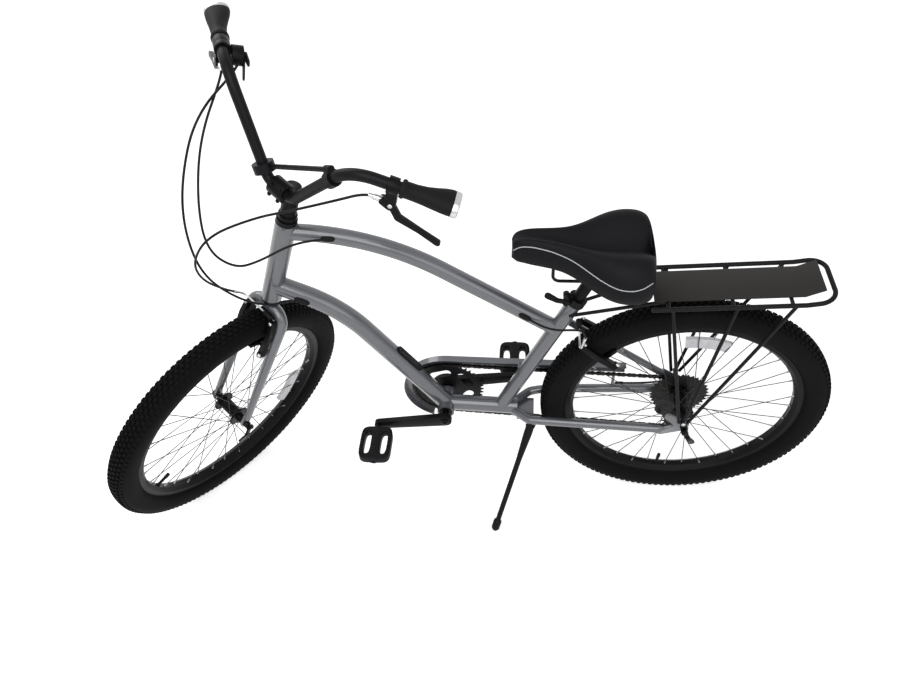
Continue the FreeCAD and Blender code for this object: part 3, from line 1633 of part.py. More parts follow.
def cable(points):
    return rod(points, cable_radius, largest_bends(points), cable_sides)


def steered_route(upper, lower):
    """Route points in the steered frame: the upper ones from the bar's clamp, the rest from the head tube."""
    route = [steered(w, bar_clamp_t + rise, f) for w, rise, f in upper]
    return route + [steered(w, head_bottom + rise, f) for w, rise, f in lower]


def front_cable_points():
    radial, tangent = front_brake_frame()
    tip, corner, end = noodle_points(front_axle, radial, tangent, across_way, -1)
    out = unit(end - corner)
    start = adjuster_end(1)
    inward = grip_frame(1)[1] * -1
    points = [start + inward * running_gap, start + inward * adjuster_length]
    points += steered_route(front_cable_upper, front_cable_lower)
    return points + [end + out * (noodle_reach * noodle_cable_share), end + out * seat_gap]


def rear_cable_points():
    start = adjuster_end(-1)
    inward = grip_frame(-1)[1] * -1
    points = [start + inward * running_gap, start + inward * adjuster_length]
    points += steered_route(rear_cable_upper, []) + [top_tube_head + offset for offset in rear_cable_fixed]
    along = unit(top_tube_run)
    port = top_tube_head + along * rear_cable_port + left_way * (top_tube_radius + cable_radius)
    return points + [port, port + along * (top_tube_radius * 2)]


def shift_cable_points():
    end, out, down, rider = grip_frame(-1)
    start = pod_centre() + rider * (pod_thickness / 2) - out * pod_radius
    points = [start - out * running_gap, start - out * adjuster_length]
    points += steered_route(shift_cable_upper, shift_cable_lower)
    along = unit(down_tube_run)
    port = down_tube_head + along * shift_cable_port + left_way * (down_tube_radius + cable_radius)
    return points + [port, port + along * down_tube_radius]


def build():
    """Every node's shape, upright."""
    front_radial, front_tangent = front_brake_frame()
    rear_radial, rear_tangent = rear_brake_frame()
    front = (front_axle, front_radial, front_tangent, across_way)
    rear = (rear_axle, rear_radial, rear_tangent, left_way)
    front_cam = front_axle + across_way * (front_drop_half + drop_thickness + skewer_nut_length)
    rear_cam = rear_axle + left_way * (rear_drop_half + drop_thickness + skewer_nut_length)
    front_flanges = (front_flange_offset, front_flange_offset)
    rear_flanges = (rear_left_flange, rear_right_flange)
    front_lever_way = unit(ahead_way * skewer_ahead_share - steer_up * skewer_down_share)
    rear_lever_way = unit(V(-skewer_ahead_share, 0, -skewer_down_share))
    return {
        "head_tube": head_tube(),
        "headset_cups": headset(),
        "top_tube": top_tube(),
        "down_tube": down_tube(),
        "seat_tube": seat_tube(),
        "boom_tube": boom_tube(),
        "chain_stays": chain_stays(),
        "seat_stays": seat_stays(),
        "bottom_bracket": bottom_bracket(),
        "chain_guard": chain_guard(),
        "rack_frame": rack_frame(),
        "rack_deck": rack_deck(),
        "bottle_mount": bottle_mount(),
        "kickstand_bracket": kickstand_bracket(),
        "kickstand_leg": kickstand_leg(),
        "seat_collar": seat_collar(),
        "seat_collar_lever": collar_lever(),
        "seat_post": seat_post(),
        "saddle_frame": saddle_frame(),
        "saddle_cover": saddle_cover(),
        "rear_axle": skewer(rear_axle, left_way, rear_drop_half),
        "rear_skewer_lever": skewer_lever(rear_cam, left_way, rear_lever_way),
        "rear_tyre": tyre(rear_axle, left_way),
        "rear_rim": rim(rear_axle, left_way),
        "rear_spokes": spokes(rear_axle, left_way, *rear_flanges),
        "rear_hub": hub(rear_axle, left_way, rear_hub_left_end, *rear_flanges, rear_hub_right_end),
        "cassette": cassette(),
        "derailleur_body": derailleur_body(),
        "derailleur_cage": derailleur_cage(),
        "guide_pulley": pulley(guide_centre),
        "tension_pulley": pulley(tension_centre),
        "chain": chain(),
        "chainring": chainring(),
        "crank_arms": crank_arms(),
        "left_pedal": pedal(1),
        "right_pedal": pedal(-1),
        "fork": fork(),
        "stem": stem(),
        "handlebar": handlebar(),
        "bar_brace": bar_brace(),
        "grips": grips(),
        "control_brackets": group([control_bracket(1), control_bracket(-1), shifter_housing()]),
        "left_brake_lever": brake_lever(1),
        "right_brake_lever": brake_lever(-1),
        "shift_thumb_lever": shift_lever(0, thumb_reach, thumb_angle),
        "shift_release_lever": shift_lever(1, release_reach, release_angle),
        "front_axle": skewer(front_axle, across_way, front_drop_half),
        "front_skewer_lever": skewer_lever(front_cam, across_way, front_lever_way),
        "front_tyre": tyre(front_axle, across_way),
        "front_rim": rim(front_axle, across_way),
        "front_spokes": spokes(front_axle, across_way, *front_flanges),
        "front_hub": hub(front_axle, across_way, front_hub_half, *front_flanges, front_hub_half),
        "front_brake_arm_left": brake_arm(*front, 1, False),
        "front_brake_arm_right": brake_arm(*front, -1, True),
        "rear_brake_arm_left": brake_arm(*rear, 1, True),
        "rear_brake_arm_right": brake_arm(*rear, -1, False),
        "front_brake_cable": cable(front_cable_points()),
        "rear_brake_cable": cable(rear_cable_points()),
        "shift_cable": cable(shift_cable_points()),
    }


def lowest(rotation, outline, centre, axis):
    """The height of the lowest point of a turned body after the bicycle is leaned."""
    tilt = rotation.multVec(axis).z
    level = math.sqrt(1 - tilt * tilt)
    return rotation.multVec(centre).z + min(offset * tilt - radius * level for offset, radius in outline)


def stand_rotation():
    """The lean and pitch at which both tyres and the kickstand's foot meet the ground together."""
    wheels = [(tyre_outline(), rear_axle, left_way), (tyre_outline(), front_axle, across_way)]
    props = wheels + [(foot_outline(), kick_foot, kick_ways()[0])]

    def heights(lean, pitch):
        rotation = FreeCAD.Rotation(V(1, 0, 0), -lean).multiply(FreeCAD.Rotation(V(0, 1, 0), pitch))
        rear, front, foot = [lowest(rotation, *prop) for prop in props]
        return front - rear, foot - rear, rear, rotation

    lean = first_lean
    pitch = 0
    small = lean_trial
    for step in range(lean_rounds):
        front, foot, level, rotation = heights(lean, pitch)
        front_l, foot_l = [value - base for value, base in zip(heights(lean + small, pitch), (front, foot))]
        front_p, foot_p = [value - base for value, base in zip(heights(lean, pitch + small), (front, foot))]
        det = front_l * foot_p - front_p * foot_l
        lean -= small * (front * foot_p - front_p * foot) / det
        pitch -= small * (front_l * foot - foot_l * front) / det
    return heights(lean, pitch)[3], heights(lean, pitch)[2]


def stand_placement(shapes):
    """Leans the bicycle and puts zero on the ground at the middle of its outer box."""
    rotation, level = stand_rotation()
    turned_box = FreeCAD.BoundBox()
    for shape in shapes.values():
        copy = shape.copy()
        copy.Placement = FreeCAD.Placement(V(0, 0, 0), rotation).multiply(copy.Placement)
        turned_box.add(copy.BoundBox)
    shift = V(-turned_box.Center.x, -turned_box.Center.y, -level)
    return FreeCAD.Placement(shift, rotation)


def main():
    os.makedirs("parts", exist_ok=True)
    shapes = build()
    stand = stand_placement(shapes)
    for node, shape in shapes.items():
        shape.Placement = stand.multiply(shape.Placement)
        shape.exportStep("parts/" + node + ".step")


if __name__ == "__main__":
    main()
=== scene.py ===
import bmesh
import bpy
import json
import numpy as np
from math import atan2, ceil, cos, pi, radians, sin, tan
from mathutils import Matrix, Vector
from mathutils.bvhtree import BVHTree
from mathutils.geometry import intersect_point_line


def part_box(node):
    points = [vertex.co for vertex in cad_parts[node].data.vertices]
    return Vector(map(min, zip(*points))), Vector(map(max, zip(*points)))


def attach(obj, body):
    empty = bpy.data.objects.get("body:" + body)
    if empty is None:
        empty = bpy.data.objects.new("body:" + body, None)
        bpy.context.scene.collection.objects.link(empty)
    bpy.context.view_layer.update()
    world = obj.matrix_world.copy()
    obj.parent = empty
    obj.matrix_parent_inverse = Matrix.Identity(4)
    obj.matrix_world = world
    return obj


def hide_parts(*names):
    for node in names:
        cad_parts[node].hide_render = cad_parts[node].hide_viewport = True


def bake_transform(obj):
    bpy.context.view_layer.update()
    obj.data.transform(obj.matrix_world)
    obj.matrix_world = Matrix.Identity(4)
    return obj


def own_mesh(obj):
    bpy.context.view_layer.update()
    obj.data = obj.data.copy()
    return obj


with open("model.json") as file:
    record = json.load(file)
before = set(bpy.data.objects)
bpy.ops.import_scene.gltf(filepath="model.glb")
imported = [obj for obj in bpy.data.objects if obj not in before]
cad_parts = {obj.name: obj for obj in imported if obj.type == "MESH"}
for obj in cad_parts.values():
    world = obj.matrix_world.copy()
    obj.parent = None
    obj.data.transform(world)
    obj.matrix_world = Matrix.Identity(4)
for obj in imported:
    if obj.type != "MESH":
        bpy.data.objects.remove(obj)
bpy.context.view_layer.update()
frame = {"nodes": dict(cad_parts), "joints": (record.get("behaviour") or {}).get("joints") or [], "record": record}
scene = bpy.context.scene
scene.view_settings.view_transform = "Standard"
print("frame loaded:", len(frame["nodes"]), "nodes")

# Where things are: the bicycle's own axes and the steered axes, read from the joints
layout = {"crankAhead": 0.5757, "crankDrop": 0.023, "wheelRadius": 0.34, "forkOffset": 0.067}
joints = {joint["name"]: joint for joint in frame["joints"]}


def spot(name):
    return Vector(joints[name]["pos_m"])


def turnWay(name):
    return Vector(joints[name]["axis"]).normalized()


leftWay = turnWay("rear_wheel_spin")
rearAxle = spot("rear_wheel_spin")
toCrank = (spot("crank_spin") - rearAxle).normalized()
tilt = atan2(-layout["crankDrop"], layout["crankAhead"])
crossLift = toCrank.cross(leftWay)
aheadWay = toCrank * cos(tilt) - crossLift * sin(tilt)
upWay = toCrank * sin(tilt) + crossLift * cos(tilt)
groundSpot = rearAxle - upWay * layout["wheelRadius"]
steerUp = turnWay("steering")
acrossWay = turnWay("front_wheel_spin")
steerAhead = acrossWay.cross(steerUp)
frontAxle = spot("front_wheel_spin")
steerFoot = frontAxle - steerAhead * layout["forkOffset"]


def bike(x, y, z):
    return groundSpot + aheadWay * x + leftWay * y + upWay * z


def steered(across, up, ahead):
    return steerFoot + acrossWay * across + steerUp * up + steerAhead * ahead


# Camera at the photograph's view, worked out for a picture 900 wide
view = {"place": (0.395, 1.2305, 1.8854), "turn": -82.55, "dip": 46.98, "roll": -4.11,
        "focal": 786.3, "width": 900, "sensor": 36, "near": 0.05}


def makeCamera():
    turn, dip, roll = radians(view["turn"]), radians(view["dip"]), radians(view["roll"])
    look = aheadWay * (cos(dip) * cos(turn)) + leftWay * (cos(dip) * sin(turn)) - upWay * sin(dip)
    right = look.cross(upWay).normalized()
    above = right.cross(look)
    side = right * cos(roll) + above * sin(roll)
    top = above * cos(roll) - right * sin(roll)
    data = bpy.data.cameras.new("photoCamera")
    data.sensor_fit = "HORIZONTAL"
    data.sensor_width = view["sensor"]
    data.lens = view["focal"] * data.sensor_width / view["width"]
    data.clip_start = view["near"]
    camera = bpy.data.objects.new("photoCamera", data)
    turnedTo = Matrix((side, top, -look)).transposed().to_4x4()
    camera.matrix_world = Matrix.Translation(bike(*view["place"])) @ turnedTo
    scene.collection.objects.link(camera)
    scene.camera = camera


makeCamera()
print("camera placed")


class Wire:
    # one socket of a node tree: plain sums on wires add the Math nodes
    def __init__(self, tree, socket=None):
        self.tree = tree
        self.socket = socket

    def add(self, kind, settings=(), sockets=(), out=0):
        node = self.tree.nodes.new(kind)
        for label, value in dict(settings).items():
            setattr(node, label, value)
        for label, value in dict(sockets).items():
            socket = pickSocket(node.inputs, label)
            if isinstance(value, Wire):
                self.tree.links.new(value.socket, socket)
            else:
                socket.default_value = value
        return Wire(self.tree, pickSocket(node.outputs, out))

    def sums(self, operation, first, second):
        return self.add("ShaderNodeMath", {"operation": operation}, {0: first, 1: second})

    def __add__(self, other):
        return self.sums("ADD", self, other)

    __radd__ = __add__

    def __mul__(self, other):
        return self.sums("MULTIPLY", self, other)

    __rmul__ = __mul__

    def __sub__(self, other):
        return self.sums("SUBTRACT", self, other)

    def __rsub__(self, other):
        return self.sums("SUBTRACT", other, self)

    def noise(self, place, scale, detail=3.0):
        return self.add("ShaderNodeTexNoise", {}, {"Vector": place, "Scale": scale, "Detail": detail}, "Fac")

    def blend(self, share, first, second):
        sockets = {"Factor_Float": share, "A_Color": first, "B_Color": second}
        return self.add("ShaderNodeMix", {"data_type": "RGBA"}, sockets, "Result_Color")

    def bump(self, height, strength, depth):
        return self.add("ShaderNodeBump", {}, {"Height": height, "Strength": strength, "Distance": depth})


def pickSocket(sockets, label):
    if isinstance(label, int):
        return sockets[label]
    for socket in sockets:
        if socket.identifier == label:
            return socket
    return next(socket for socket in sockets if socket.name == label and socket.enabled)


def shade(*rgb):
    return (*rgb, 1.0)


# Finishes: colours, shader values, scales of grain, cells and cloud, roughness and its swing, bumps
satin = {"spec": 0.12, "cloud": 26.0, "mix": 0.6, "swing": 0.12, "depth": 0.0003}
blackSatin = {**satin, "dark": (0.0027, 0.0027, 0.0035), "pale": (0.0056, 0.0056, 0.0070), "grain": 1300.0}
brushed = {"metal": 1.0, "stretch": (180.0, 1500.0, 1500.0), "grain": 1.0, "cloud": 34.0, "mix": 0.6,
           "swing": 0.14, "strength": 0.05, "depth": 0.0002}
rubber = {"spec": 0.11, "rough": 0.5, "swing": 0.2, "strength": 0.2, "depth": 0.0003}
looks = {
    "framePaint": {"metal": 0.2, "coat": (0.85, 0.07), "dark": (0.0779, 0.0825, 0.0920),
                   "pale": (0.1003, 0.1056, 0.1167), "grain": 1500.0, "detail": 1.0, "peel": 380.0,
                   "cloud": 11.0, "mix": 0.45, "rough": 0.26, "swing": 0.12, "strength": 0.035,
                   "depth": 0.0004},
    "satinBlack": {**blackSatin, "rough": 0.36, "strength": 0.05},
    "blackAlloy": {**satin, "metal": 0.55, "dark": (0.0040, 0.0040, 0.0046), "pale": (0.0090, 0.0090, 0.0100),
                   "grain": 1700.0, "rough": 0.34, "strength": 0.04},
    "blackPlastic": {**blackSatin, "rough": 0.46, "strength": 0.09},
    "blueBlackSteel": {**satin, "metal": 0.4, "dark": (0.0060, 0.0108, 0.0270),
                       "pale": (0.0096, 0.0180, 0.0432), "grain": 900.0, "rough": 0.24, "strength": 0.03},
    "cableJacket": {**blackSatin, "rough": 0.24, "strength": 0.02},
    "brightSteel": {**brushed, "dark": (0.40, 0.40, 0.41), "pale": (0.66, 0.66, 0.67), "rough": 0.22},
    "trackSteel": {**brushed, "dark": (0.16, 0.16, 0.165), "pale": (0.30, 0.30, 0.31), "rough": 0.26},
    "spokeSteel": {**brushed, "dark": (0.014, 0.014, 0.015), "pale": (0.042, 0.042, 0.044), "rough": 0.32},
    "oiledSteel": {**brushed, "dark": (0.0108, 0.0102, 0.0096), "pale": (0.0450, 0.0432, 0.0414),
                   "rough": 0.34},
    "tyreRubber": {"spec": 0.07, "dark": (0.0025, 0.0025, 0.0027), "pale": (0.0055, 0.0055, 0.0056),
                   "grain": 900.0, "cloud": 46.0, "mix": 0.7, "rough": 0.66, "swing": 0.2,
                   "strength": 0.16, "depth": 0.0004},
    "saddleVinyl": {"spec": 0.11, "dark": (0.0029, 0.0030, 0.0039), "pale": (0.0054, 0.0056, 0.0069),
                    "cells": 620.0, "feature": "DISTANCE_TO_EDGE", "cloud": 30.0, "rough": 0.5, "swing": 0.14,
                    "strength": 0.3, "depth": 0.0005},
    "deckSheet": {"spec": 0.3, "dark": (0.0052, 0.0043, 0.0038), "pale": (0.0133, 0.0108, 0.0091),
                  "stretch": (16.0, 320.0, 60.0), "grain": 1.0, "detail": 4.0, "rough": 0.34, "swing": 0.2,
                  "strength": 0.08, "depth": 0.0003},
    "gripRubber": {**rubber, "dark": (0.0047, 0.0047, 0.0047), "pale": (0.0095, 0.0092, 0.0090),
                   "grain": 760.0},
    "padRubber": {**rubber, "dark": (0.0045, 0.0045, 0.0045), "pale": (0.0100, 0.0100, 0.0100),
                  "grain": 500.0},
    "palePiping": {**rubber, "dark": (0.40, 0.41, 0.43), "pale": (0.55, 0.56, 0.58), "grain": 900.0},
    "clearReflector": {"coat": (0.6, 0.05), "dark": (0.80, 0.80, 0.82), "pale": (0.42, 0.42, 0.45),
                       "cells": 520.0, "feature": "F1", "rough": 0.16, "swing": 0.2,
                       "strength": 0.5, "depth": 0.0006},
}


def madeFinish(name):
    # a broad cloud and a fine grain share the two colours; cloud sets the roughness, grain the bumps
    look = {"metal": 0.0, "spec": 0.5, "coat": (0.0, 0.0), "detail": 2.0, "mix": 1.0, **looks[name]}
    material = bpy.data.materials.new(name)
    material.use_nodes = True
    tree = material.node_tree
    shader = tree.nodes["Principled BSDF"]
    weight, gloss = look["coat"]
    fixed = {"Metallic": look["metal"], "Specular IOR Level": look["spec"], "Coat Weight": weight,
             "Coat Roughness": gloss}
    for label, value in fixed.items():
        shader.inputs[label].default_value = value
    wire = Wire(tree)
    spread = place = wire.add("ShaderNodeTexCoord", out="Object")
    if "stretch" in look:
        spread = wire.add("ShaderNodeMapping", {}, {"Vector": place, "Scale": look["stretch"]})
    if "cells" in look:
        sockets = {"Vector": place, "Scale": look["cells"]}
        grain = wire.add("ShaderNodeTexVoronoi", {"feature": look["feature"]}, sockets, "Distance")
    else:
        grain = wire.noise(spread, look["grain"], look["detail"])
    cloud = wire.noise(place, look["cloud"]) if "cloud" in look else grain
    height = wire.noise(place, look["peel"], look["detail"]) if "peel" in look else grain
    share = cloud * look["mix"] + grain * (1 - look["mix"])
    fed = {"Base Color": wire.blend(share, shade(*look["dark"]), shade(*look["pale"])),
           "Roughness": look["rough"] + cloud * look["swing"],
           "Normal": wire.bump(height, look["strength"], look["depth"])}
    for label, made in fed.items():
        tree.links.new(made.socket, shader.inputs[label])
    return material


paint = madeFinish("framePaint")
black = madeFinish("satinBlack")
alloy = madeFinish("blackAlloy")
plastic = madeFinish("blackPlastic")
blueBlack = madeFinish("blueBlackSteel")
jacket = madeFinish("cableJacket")
steel = madeFinish("brightSteel")
trackSteel = madeFinish("trackSteel")
spokeSteel = madeFinish("spokeSteel")
gearSteel = madeFinish("oiledSteel")
tyreSkin = madeFinish("tyreRubber")
vinyl = madeFinish("saddleVinyl")
sheet = madeFinish("deckSheet")
gripSkin = madeFinish("gripRubber")
padSkin = madeFinish("padRubber")
pipingSkin = madeFinish("palePiping")
lens = madeFinish("clearReflector")
print("finishes made:", len(bpy.data.materials))


# Mesh helpers
zAxis = Vector((0, 0, 1))
anyWay = Vector((0.31, 0.52, 0.8))  # along none of the part's own directions


def newObject(name, mesh, materials):
    piece = bpy.data.objects.new(name, mesh)
    scene.collection.objects.link(piece)
    mesh.materials.clear()
    for material in materials:
        mesh.materials.append(material)
    return piece


def meshFrom(name, points, faces):
    mesh = bpy.data.meshes.new(name)
    mesh.from_pydata([tuple(point) for point in points], [], faces)
    mesh.validate()
    return mesh


def softShade(mesh, angle):
    shape = bmesh.new()
    shape.from_mesh(mesh)
    for face in shape.faces:
        face.smooth = True
    for edge in shape.edges:
        edge.smooth = len(edge.link_faces) == 2 and edge.calc_face_angle(0) < radians(angle)
    shape.to_mesh(mesh)
    shape.free()


def outward(mesh):
    shape = bmesh.new()
    shape.from_mesh(mesh)
    bmesh.ops.remove_doubles(shape, verts=shape.verts, dist=1e-6)
    bmesh.ops.recalc_face_normals(shape, faces=shape.faces)
    shape.to_mesh(mesh)
    shape.free()


def place(name, mesh, materials, body, slot, nodes=(), angle=40):
    softShade(mesh, angle)
    piece = newObject(name, mesh, materials)
    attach(piece, body)
    if nodes:
        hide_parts(*nodes)
    return piece


def roundWays(axis, first=None):
    start = anyWay.cross(axis) if first is None else first - axis * first.dot(axis)
    start = start.normalized()
    return start, axis.cross(start)


def latheMesh(name, profile, centre, axis, steps, first=None, loop=False):
    # profile: (offset along the axis, radius) pairs; loop closes the profile on itself
    one, two = roundWays(axis, first)
    points = []
    for step in range(steps):
        way = one * cos(2 * pi * step / steps) + two * sin(2 * pi * step / steps)
        points += [centre + axis * offset + way * radius for offset, radius in profile]
    count = len(profile)
    faces = []
    for step in range(steps):
        near, far = step * count, (step + 1) % steps * count
        for k in range(count if loop else count - 1):
            after = (k + 1) % count
            faces.append((near + k, near + after, far + after, far + k))
    mesh = meshFrom(name, points, faces)
    outward(mesh)
    return mesh


def roundedPath(points, bends, step=6.0):
    # straight runs with an arc at each corner, for rigid bent tube only
    path = [points[0]]
    for before, corner, after, bend in zip(points, points[1:], points[2:], bends):
        back, ahead = (before - corner).normalized(), (after - corner).normalized()
        half = back.angle(ahead) / 2
        centre = corner + (back + ahead).normalized() * (bend / sin(half))
        start = corner + back * (bend / tan(half)) - centre
        swing = pi - half * 2
        count = max(2, ceil(swing / radians(step)))
        axis = ahead.cross(back).normalized()
        path += [centre + Matrix.Rotation(swing * k / count, 3, axis) @ start for k in range(count + 1)]
    return path + [points[-1]]


def ringFaces(count, rows):
    return [(low + s, low + (s + 1) % count, low + count + (s + 1) % count, low + count + s)
            for low in range(0, count * (rows - 1), count) for s in range(count)]


def skinRings(name, rings):
    # a closed skin through rings that have the same number of points
    count, points = len(rings[0]), [point for ring in rings for point in ring]
    faces = ringFaces(count, len(rings))
    faces += [tuple(range(count))[::-1], tuple(range(len(points) - count, len(points)))]
    mesh = meshFrom(name, points, faces)
    outward(mesh)
    return mesh


def tubeMesh(name, path, radius, sides):
    ways = [(path[min(k + 1, len(path) - 1)] - path[max(k - 1, 0)]).normalized() for k in range(len(path))]
    turns = [2 * pi * s / sides for s in range(sides)]
    one = roundWays(ways[0])[0]
    rings = []
    for centre, way in zip(path, ways):
        one = (one - way * one.dot(way)).normalized()
        two = way.cross(one)
        rings.append([centre + (one * cos(turn) + two * sin(turn)) * radius for turn in turns])
    return skinRings(name, rings)


def mergedMesh(name, meshes):
    shape = bmesh.new()
    for mesh in meshes:
        shape.from_mesh(mesh)
    joinedMesh = bpy.data.meshes.new(name)
    shape.to_mesh(joinedMesh)
    shape.free()
    for mesh in meshes:
        bpy.data.meshes.remove(mesh)
    return joinedMesh


def islands(shape):
    # separate solids of a mesh as lists of its corners
    seen, found = set(), []
    for vert in shape.verts:
        if vert in seen:
            continue
        stack, group = [vert], []
        seen.add(vert)
        while stack:
            here = stack.pop()
            group.append(here)
            for edge in here.link_edges:
                other = edge.other_vert(here)
                if other not in seen:
                    seen.add(other)
                    stack.append(other)
        found.append(group)
    return found


def nodeShape(node):
    shape = bmesh.new()
    shape.from_mesh(frame["nodes"][node].data)
    bmesh.ops.remove_doubles(shape, verts=shape.verts, dist=3e-6)
    return shape


def softened(node, edge=0.0, keep=None):
    # a copy of a CAD node with joined faces and its sharp edges just broken
    shape = nodeShape(node)
    if keep:
        groups = islands(shape)
        spare = [vert for group in groups if not keep(group, groups) for vert in group]
        bmesh.ops.delete(shape, geom=spare, context="VERTS")
    bmesh.ops.dissolve_limit(shape, angle_limit=radians(0.6), verts=shape.verts, edges=shape.edges)
    if edge:
        sharp = [e for e in shape.edges if len(e.link_faces) == 2 and e.calc_face_angle(0) > radians(50)]
        bmesh.ops.bevel(shape, geom=sharp, offset=edge, segments=2, profile=0.6, affect="EDGES",
                        clamp_overlap=True)
    mesh = bpy.data.meshes.new(node + "Soft")
    shape.to_mesh(mesh)
    shape.free()
    return mesh


def baked(piece):
    bpy.context.view_layer.update()
    return bpy.data.meshes.new_from_object(piece.evaluated_get(bpy.context.evaluated_depsgraph_get()))


def pieceName(node):
    first, *rest = node.split("_")
    return first + "".join(word.capitalize() for word in rest)


# Geometry Nodes: copies of a template on points, along their own directions
def newTree(name, inputs):
    tree = bpy.data.node_groups.new(name, "GeometryNodeTree")
    tree.interface.new_socket("Geometry", in_out="INPUT", socket_type="NodeSocketGeometry")
    for label, kind in inputs.items():
        tree.interface.new_socket(label, in_out="INPUT", socket_type="NodeSocket" + kind)
    tree.interface.new_socket("Geometry", in_out="OUTPUT", socket_type="NodeSocketGeometry")
    source = tree.nodes.new("NodeGroupInput")
    wires = {socket.name: Wire(tree, socket) for socket in source.outputs if socket.name}
    return tree, wires


def closeTree(tree, wires, wire):
    real = wire.add("GeometryNodeRealizeInstances", {}, {"Geometry": wire})
    done = wire.add("GeometryNodeSetMaterial", {}, {"Geometry": real, "Material": wires["Material"]})
    target = tree.nodes.new("NodeGroupOutput")
    tree.links.new(done.socket, target.inputs[0])
    return tree


def runTree(mesh, tree, values):
    # evaluates the tree on a mesh and gives back a plain mesh
    worker = bpy.data.objects.new("worker", mesh)
    scene.collection.objects.link(worker)
    modifier = worker.modifiers.new("nodes", "NODES")
    modifier.node_group = tree
    names = {item.name: item.identifier for item in tree.interface.items_tree if item.in_out == "INPUT"}
    for label, value in values.items():
        modifier[names[label]] = value
    worker.update_tag()
    made = baked(worker)
    worker.modifiers.remove(modifier)
    bpy.data.objects.remove(worker)
    return made


def copiesTree():
    tree, wires = newTree("copiesOnPoints", {"Template": "Object", "Material": "Material"})
    wire = wires["Geometry"]
    template = wire.add("GeometryNodeObjectInfo", {}, {"Object": wires["Template"]}, "Geometry")
    dots = wire.add("GeometryNodeMeshToPoints", {}, {"Mesh": wires["Geometry"]})
    upward, along = [wire.add("GeometryNodeInputNamedAttribute", {"data_type": "FLOAT_VECTOR"},
                              {"Name": name}, "Attribute") for name in ("standWay", "alongWay")]
    stood = wire.add("FunctionNodeAlignRotationToVector", {"axis": "Z"}, {"Vector": upward})
    turned = wire.add("FunctionNodeAlignRotationToVector", {"axis": "X", "pivot_axis": "Z"},
                      {"Rotation": stood, "Vector": along})
    sockets = {"Points": dots, "Instance": template, "Rotation": turned}
    return closeTree(tree, wires, wire.add("GeometryNodeInstanceOnPoints", {}, sockets))


def barsTree():
    tree, wires = newTree("roundBars", {"Radius": "Float", "Sides": "Int", "Material": "Material"})
    wire = wires["Geometry"]
    lines = wire.add("GeometryNodeMeshToCurve", {}, {"Mesh": wires["Geometry"]})
    sockets = {"Radius": wires["Radius"], "Resolution": wires["Sides"]}
    outline = wire.add("GeometryNodeCurvePrimitiveCircle", {}, sockets)
    sockets = {"Curve": lines, "Profile Curve": outline, "Fill Caps": True}
    return closeTree(tree, wires, wire.add("GeometryNodeCurveToMesh", {}, sockets))


def treadTree():
    # one row of tread blocks round a circle in the flat, leaning with the tyre's crown
    inputs = {"Count": "Int", "Radius": "Float", "Offset": "Float", "Turn": "Float", "Lean": "Float",
              "Block": "Vector", "Material": "Material"}
    tree, wires = newTree("treadRow", inputs)
    wire = wires["Geometry"]
    circle = wire.add("GeometryNodeMeshCircle", {}, {"Vertices": wires["Count"], "Radius": wires["Radius"]})
    position = wire.add("GeometryNodeInputPosition")
    facing = {"axis": "X", "pivot_axis": "Z"}
    rotation = wire.add("FunctionNodeAlignRotationToVector", facing, {"Vector": position})
    block = wire.add("GeometryNodeMeshCube", {}, {"Size": wires["Block"]})
    sockets = {"Points": circle, "Instance": block, "Rotation": rotation}
    blocks = wire.add("GeometryNodeInstanceOnPoints", {}, sockets)
    lean = wire.add("ShaderNodeCombineXYZ", {}, {"Y": wires["Lean"]})
    sockets = {"Instances": blocks, "Rotation": lean, "Local Space": True}
    leaned = wire.add("GeometryNodeRotateInstances", {}, sockets)
    turn = wire.add("ShaderNodeCombineXYZ", {}, {"Z": wires["Turn"]})
    shift = wire.add("ShaderNodeCombineXYZ", {}, {"Z": wires["Offset"]})
    sockets = {"Geometry": leaned, "Translation": shift, "Rotation": turn}
    return closeTree(tree, wires, wire.add("GeometryNodeTransform", {}, sockets))


copies, bars, tread = copiesTree(), barsTree(), treadTree()


def scatter(template, spots, stands, alongs, material):
    points = meshFrom("spots", spots, [])
    for name, ways in (("standWay", stands), ("alongWay", alongs)):
        layer = points.attributes.new(name, "FLOAT_VECTOR", "POINT")
        layer.data.foreach_set("vector", np.array([tuple(way) for way in ways], dtype=np.float32).ravel())
    holder = bpy.data.objects.new("template", template)
    scene.collection.objects.link(holder)
    mesh = runTree(points, copies, {"Template": holder, "Material": material})
    bpy.data.objects.remove(holder)
    bpy.data.meshes.remove(template)
    bpy.data.meshes.remove(points)
    return mesh


boltLook = {"sides": 20, "bore": 0.44, "depth": 0.45,
            "head": [(0.0, 1.0), (0.55, 1.0), (0.85, 0.86), (1.0, 0.62)]}


def boltTemplate(radius, height):
    # a button head with a six-sided socket
    ahead, bore, depth = Vector((1, 0, 0)), radius * boltLook["bore"], height * boltLook["depth"]
    profile = [(height * rise, radius * reach) for rise, reach in boltLook["head"]]
    head = latheMesh("bolt", profile, Vector(), zAxis, boltLook["sides"], ahead)
    profile = [profile[-1], (height, bore), (depth, bore), (depth, 0.0001)]
    return mergedMesh("boltHead", [head, latheMesh("socket", profile, Vector(), zAxis, 6, ahead)])


def boltsAt(name, spots, stands, radius, height, material, body, slot):
    alongs = [way.orthogonal() for way in stands]
    mesh = scatter(boltTemplate(radius, height), spots, stands, alongs, material)
    return place(name, mesh, [material], body, slot, angle=35)


# Cables: the routes' points are the control points of one smooth spline each
cableLook = {"radius": 0.0025, "rings": 3, "steps": 9, "order": 3}
barShape = {"foot": (0.035, 0.712, 0.034), "top": (0.158, 0.884, 0.054), "end": (0.325, 0.881, -0.052),
            "radius": 0.0111}
controls = {"gripLength": 0.105, "inset": 0.014, "adjuster": (-0.026, 0.036), "pod": (-0.024, 0.006, 0.0155),
            "podDepth": 0.021, "podRadius": 0.019}


def barPoint(side, spotName):
    across, up, ahead = barShape[spotName]
    return steered(side * across, up, ahead)


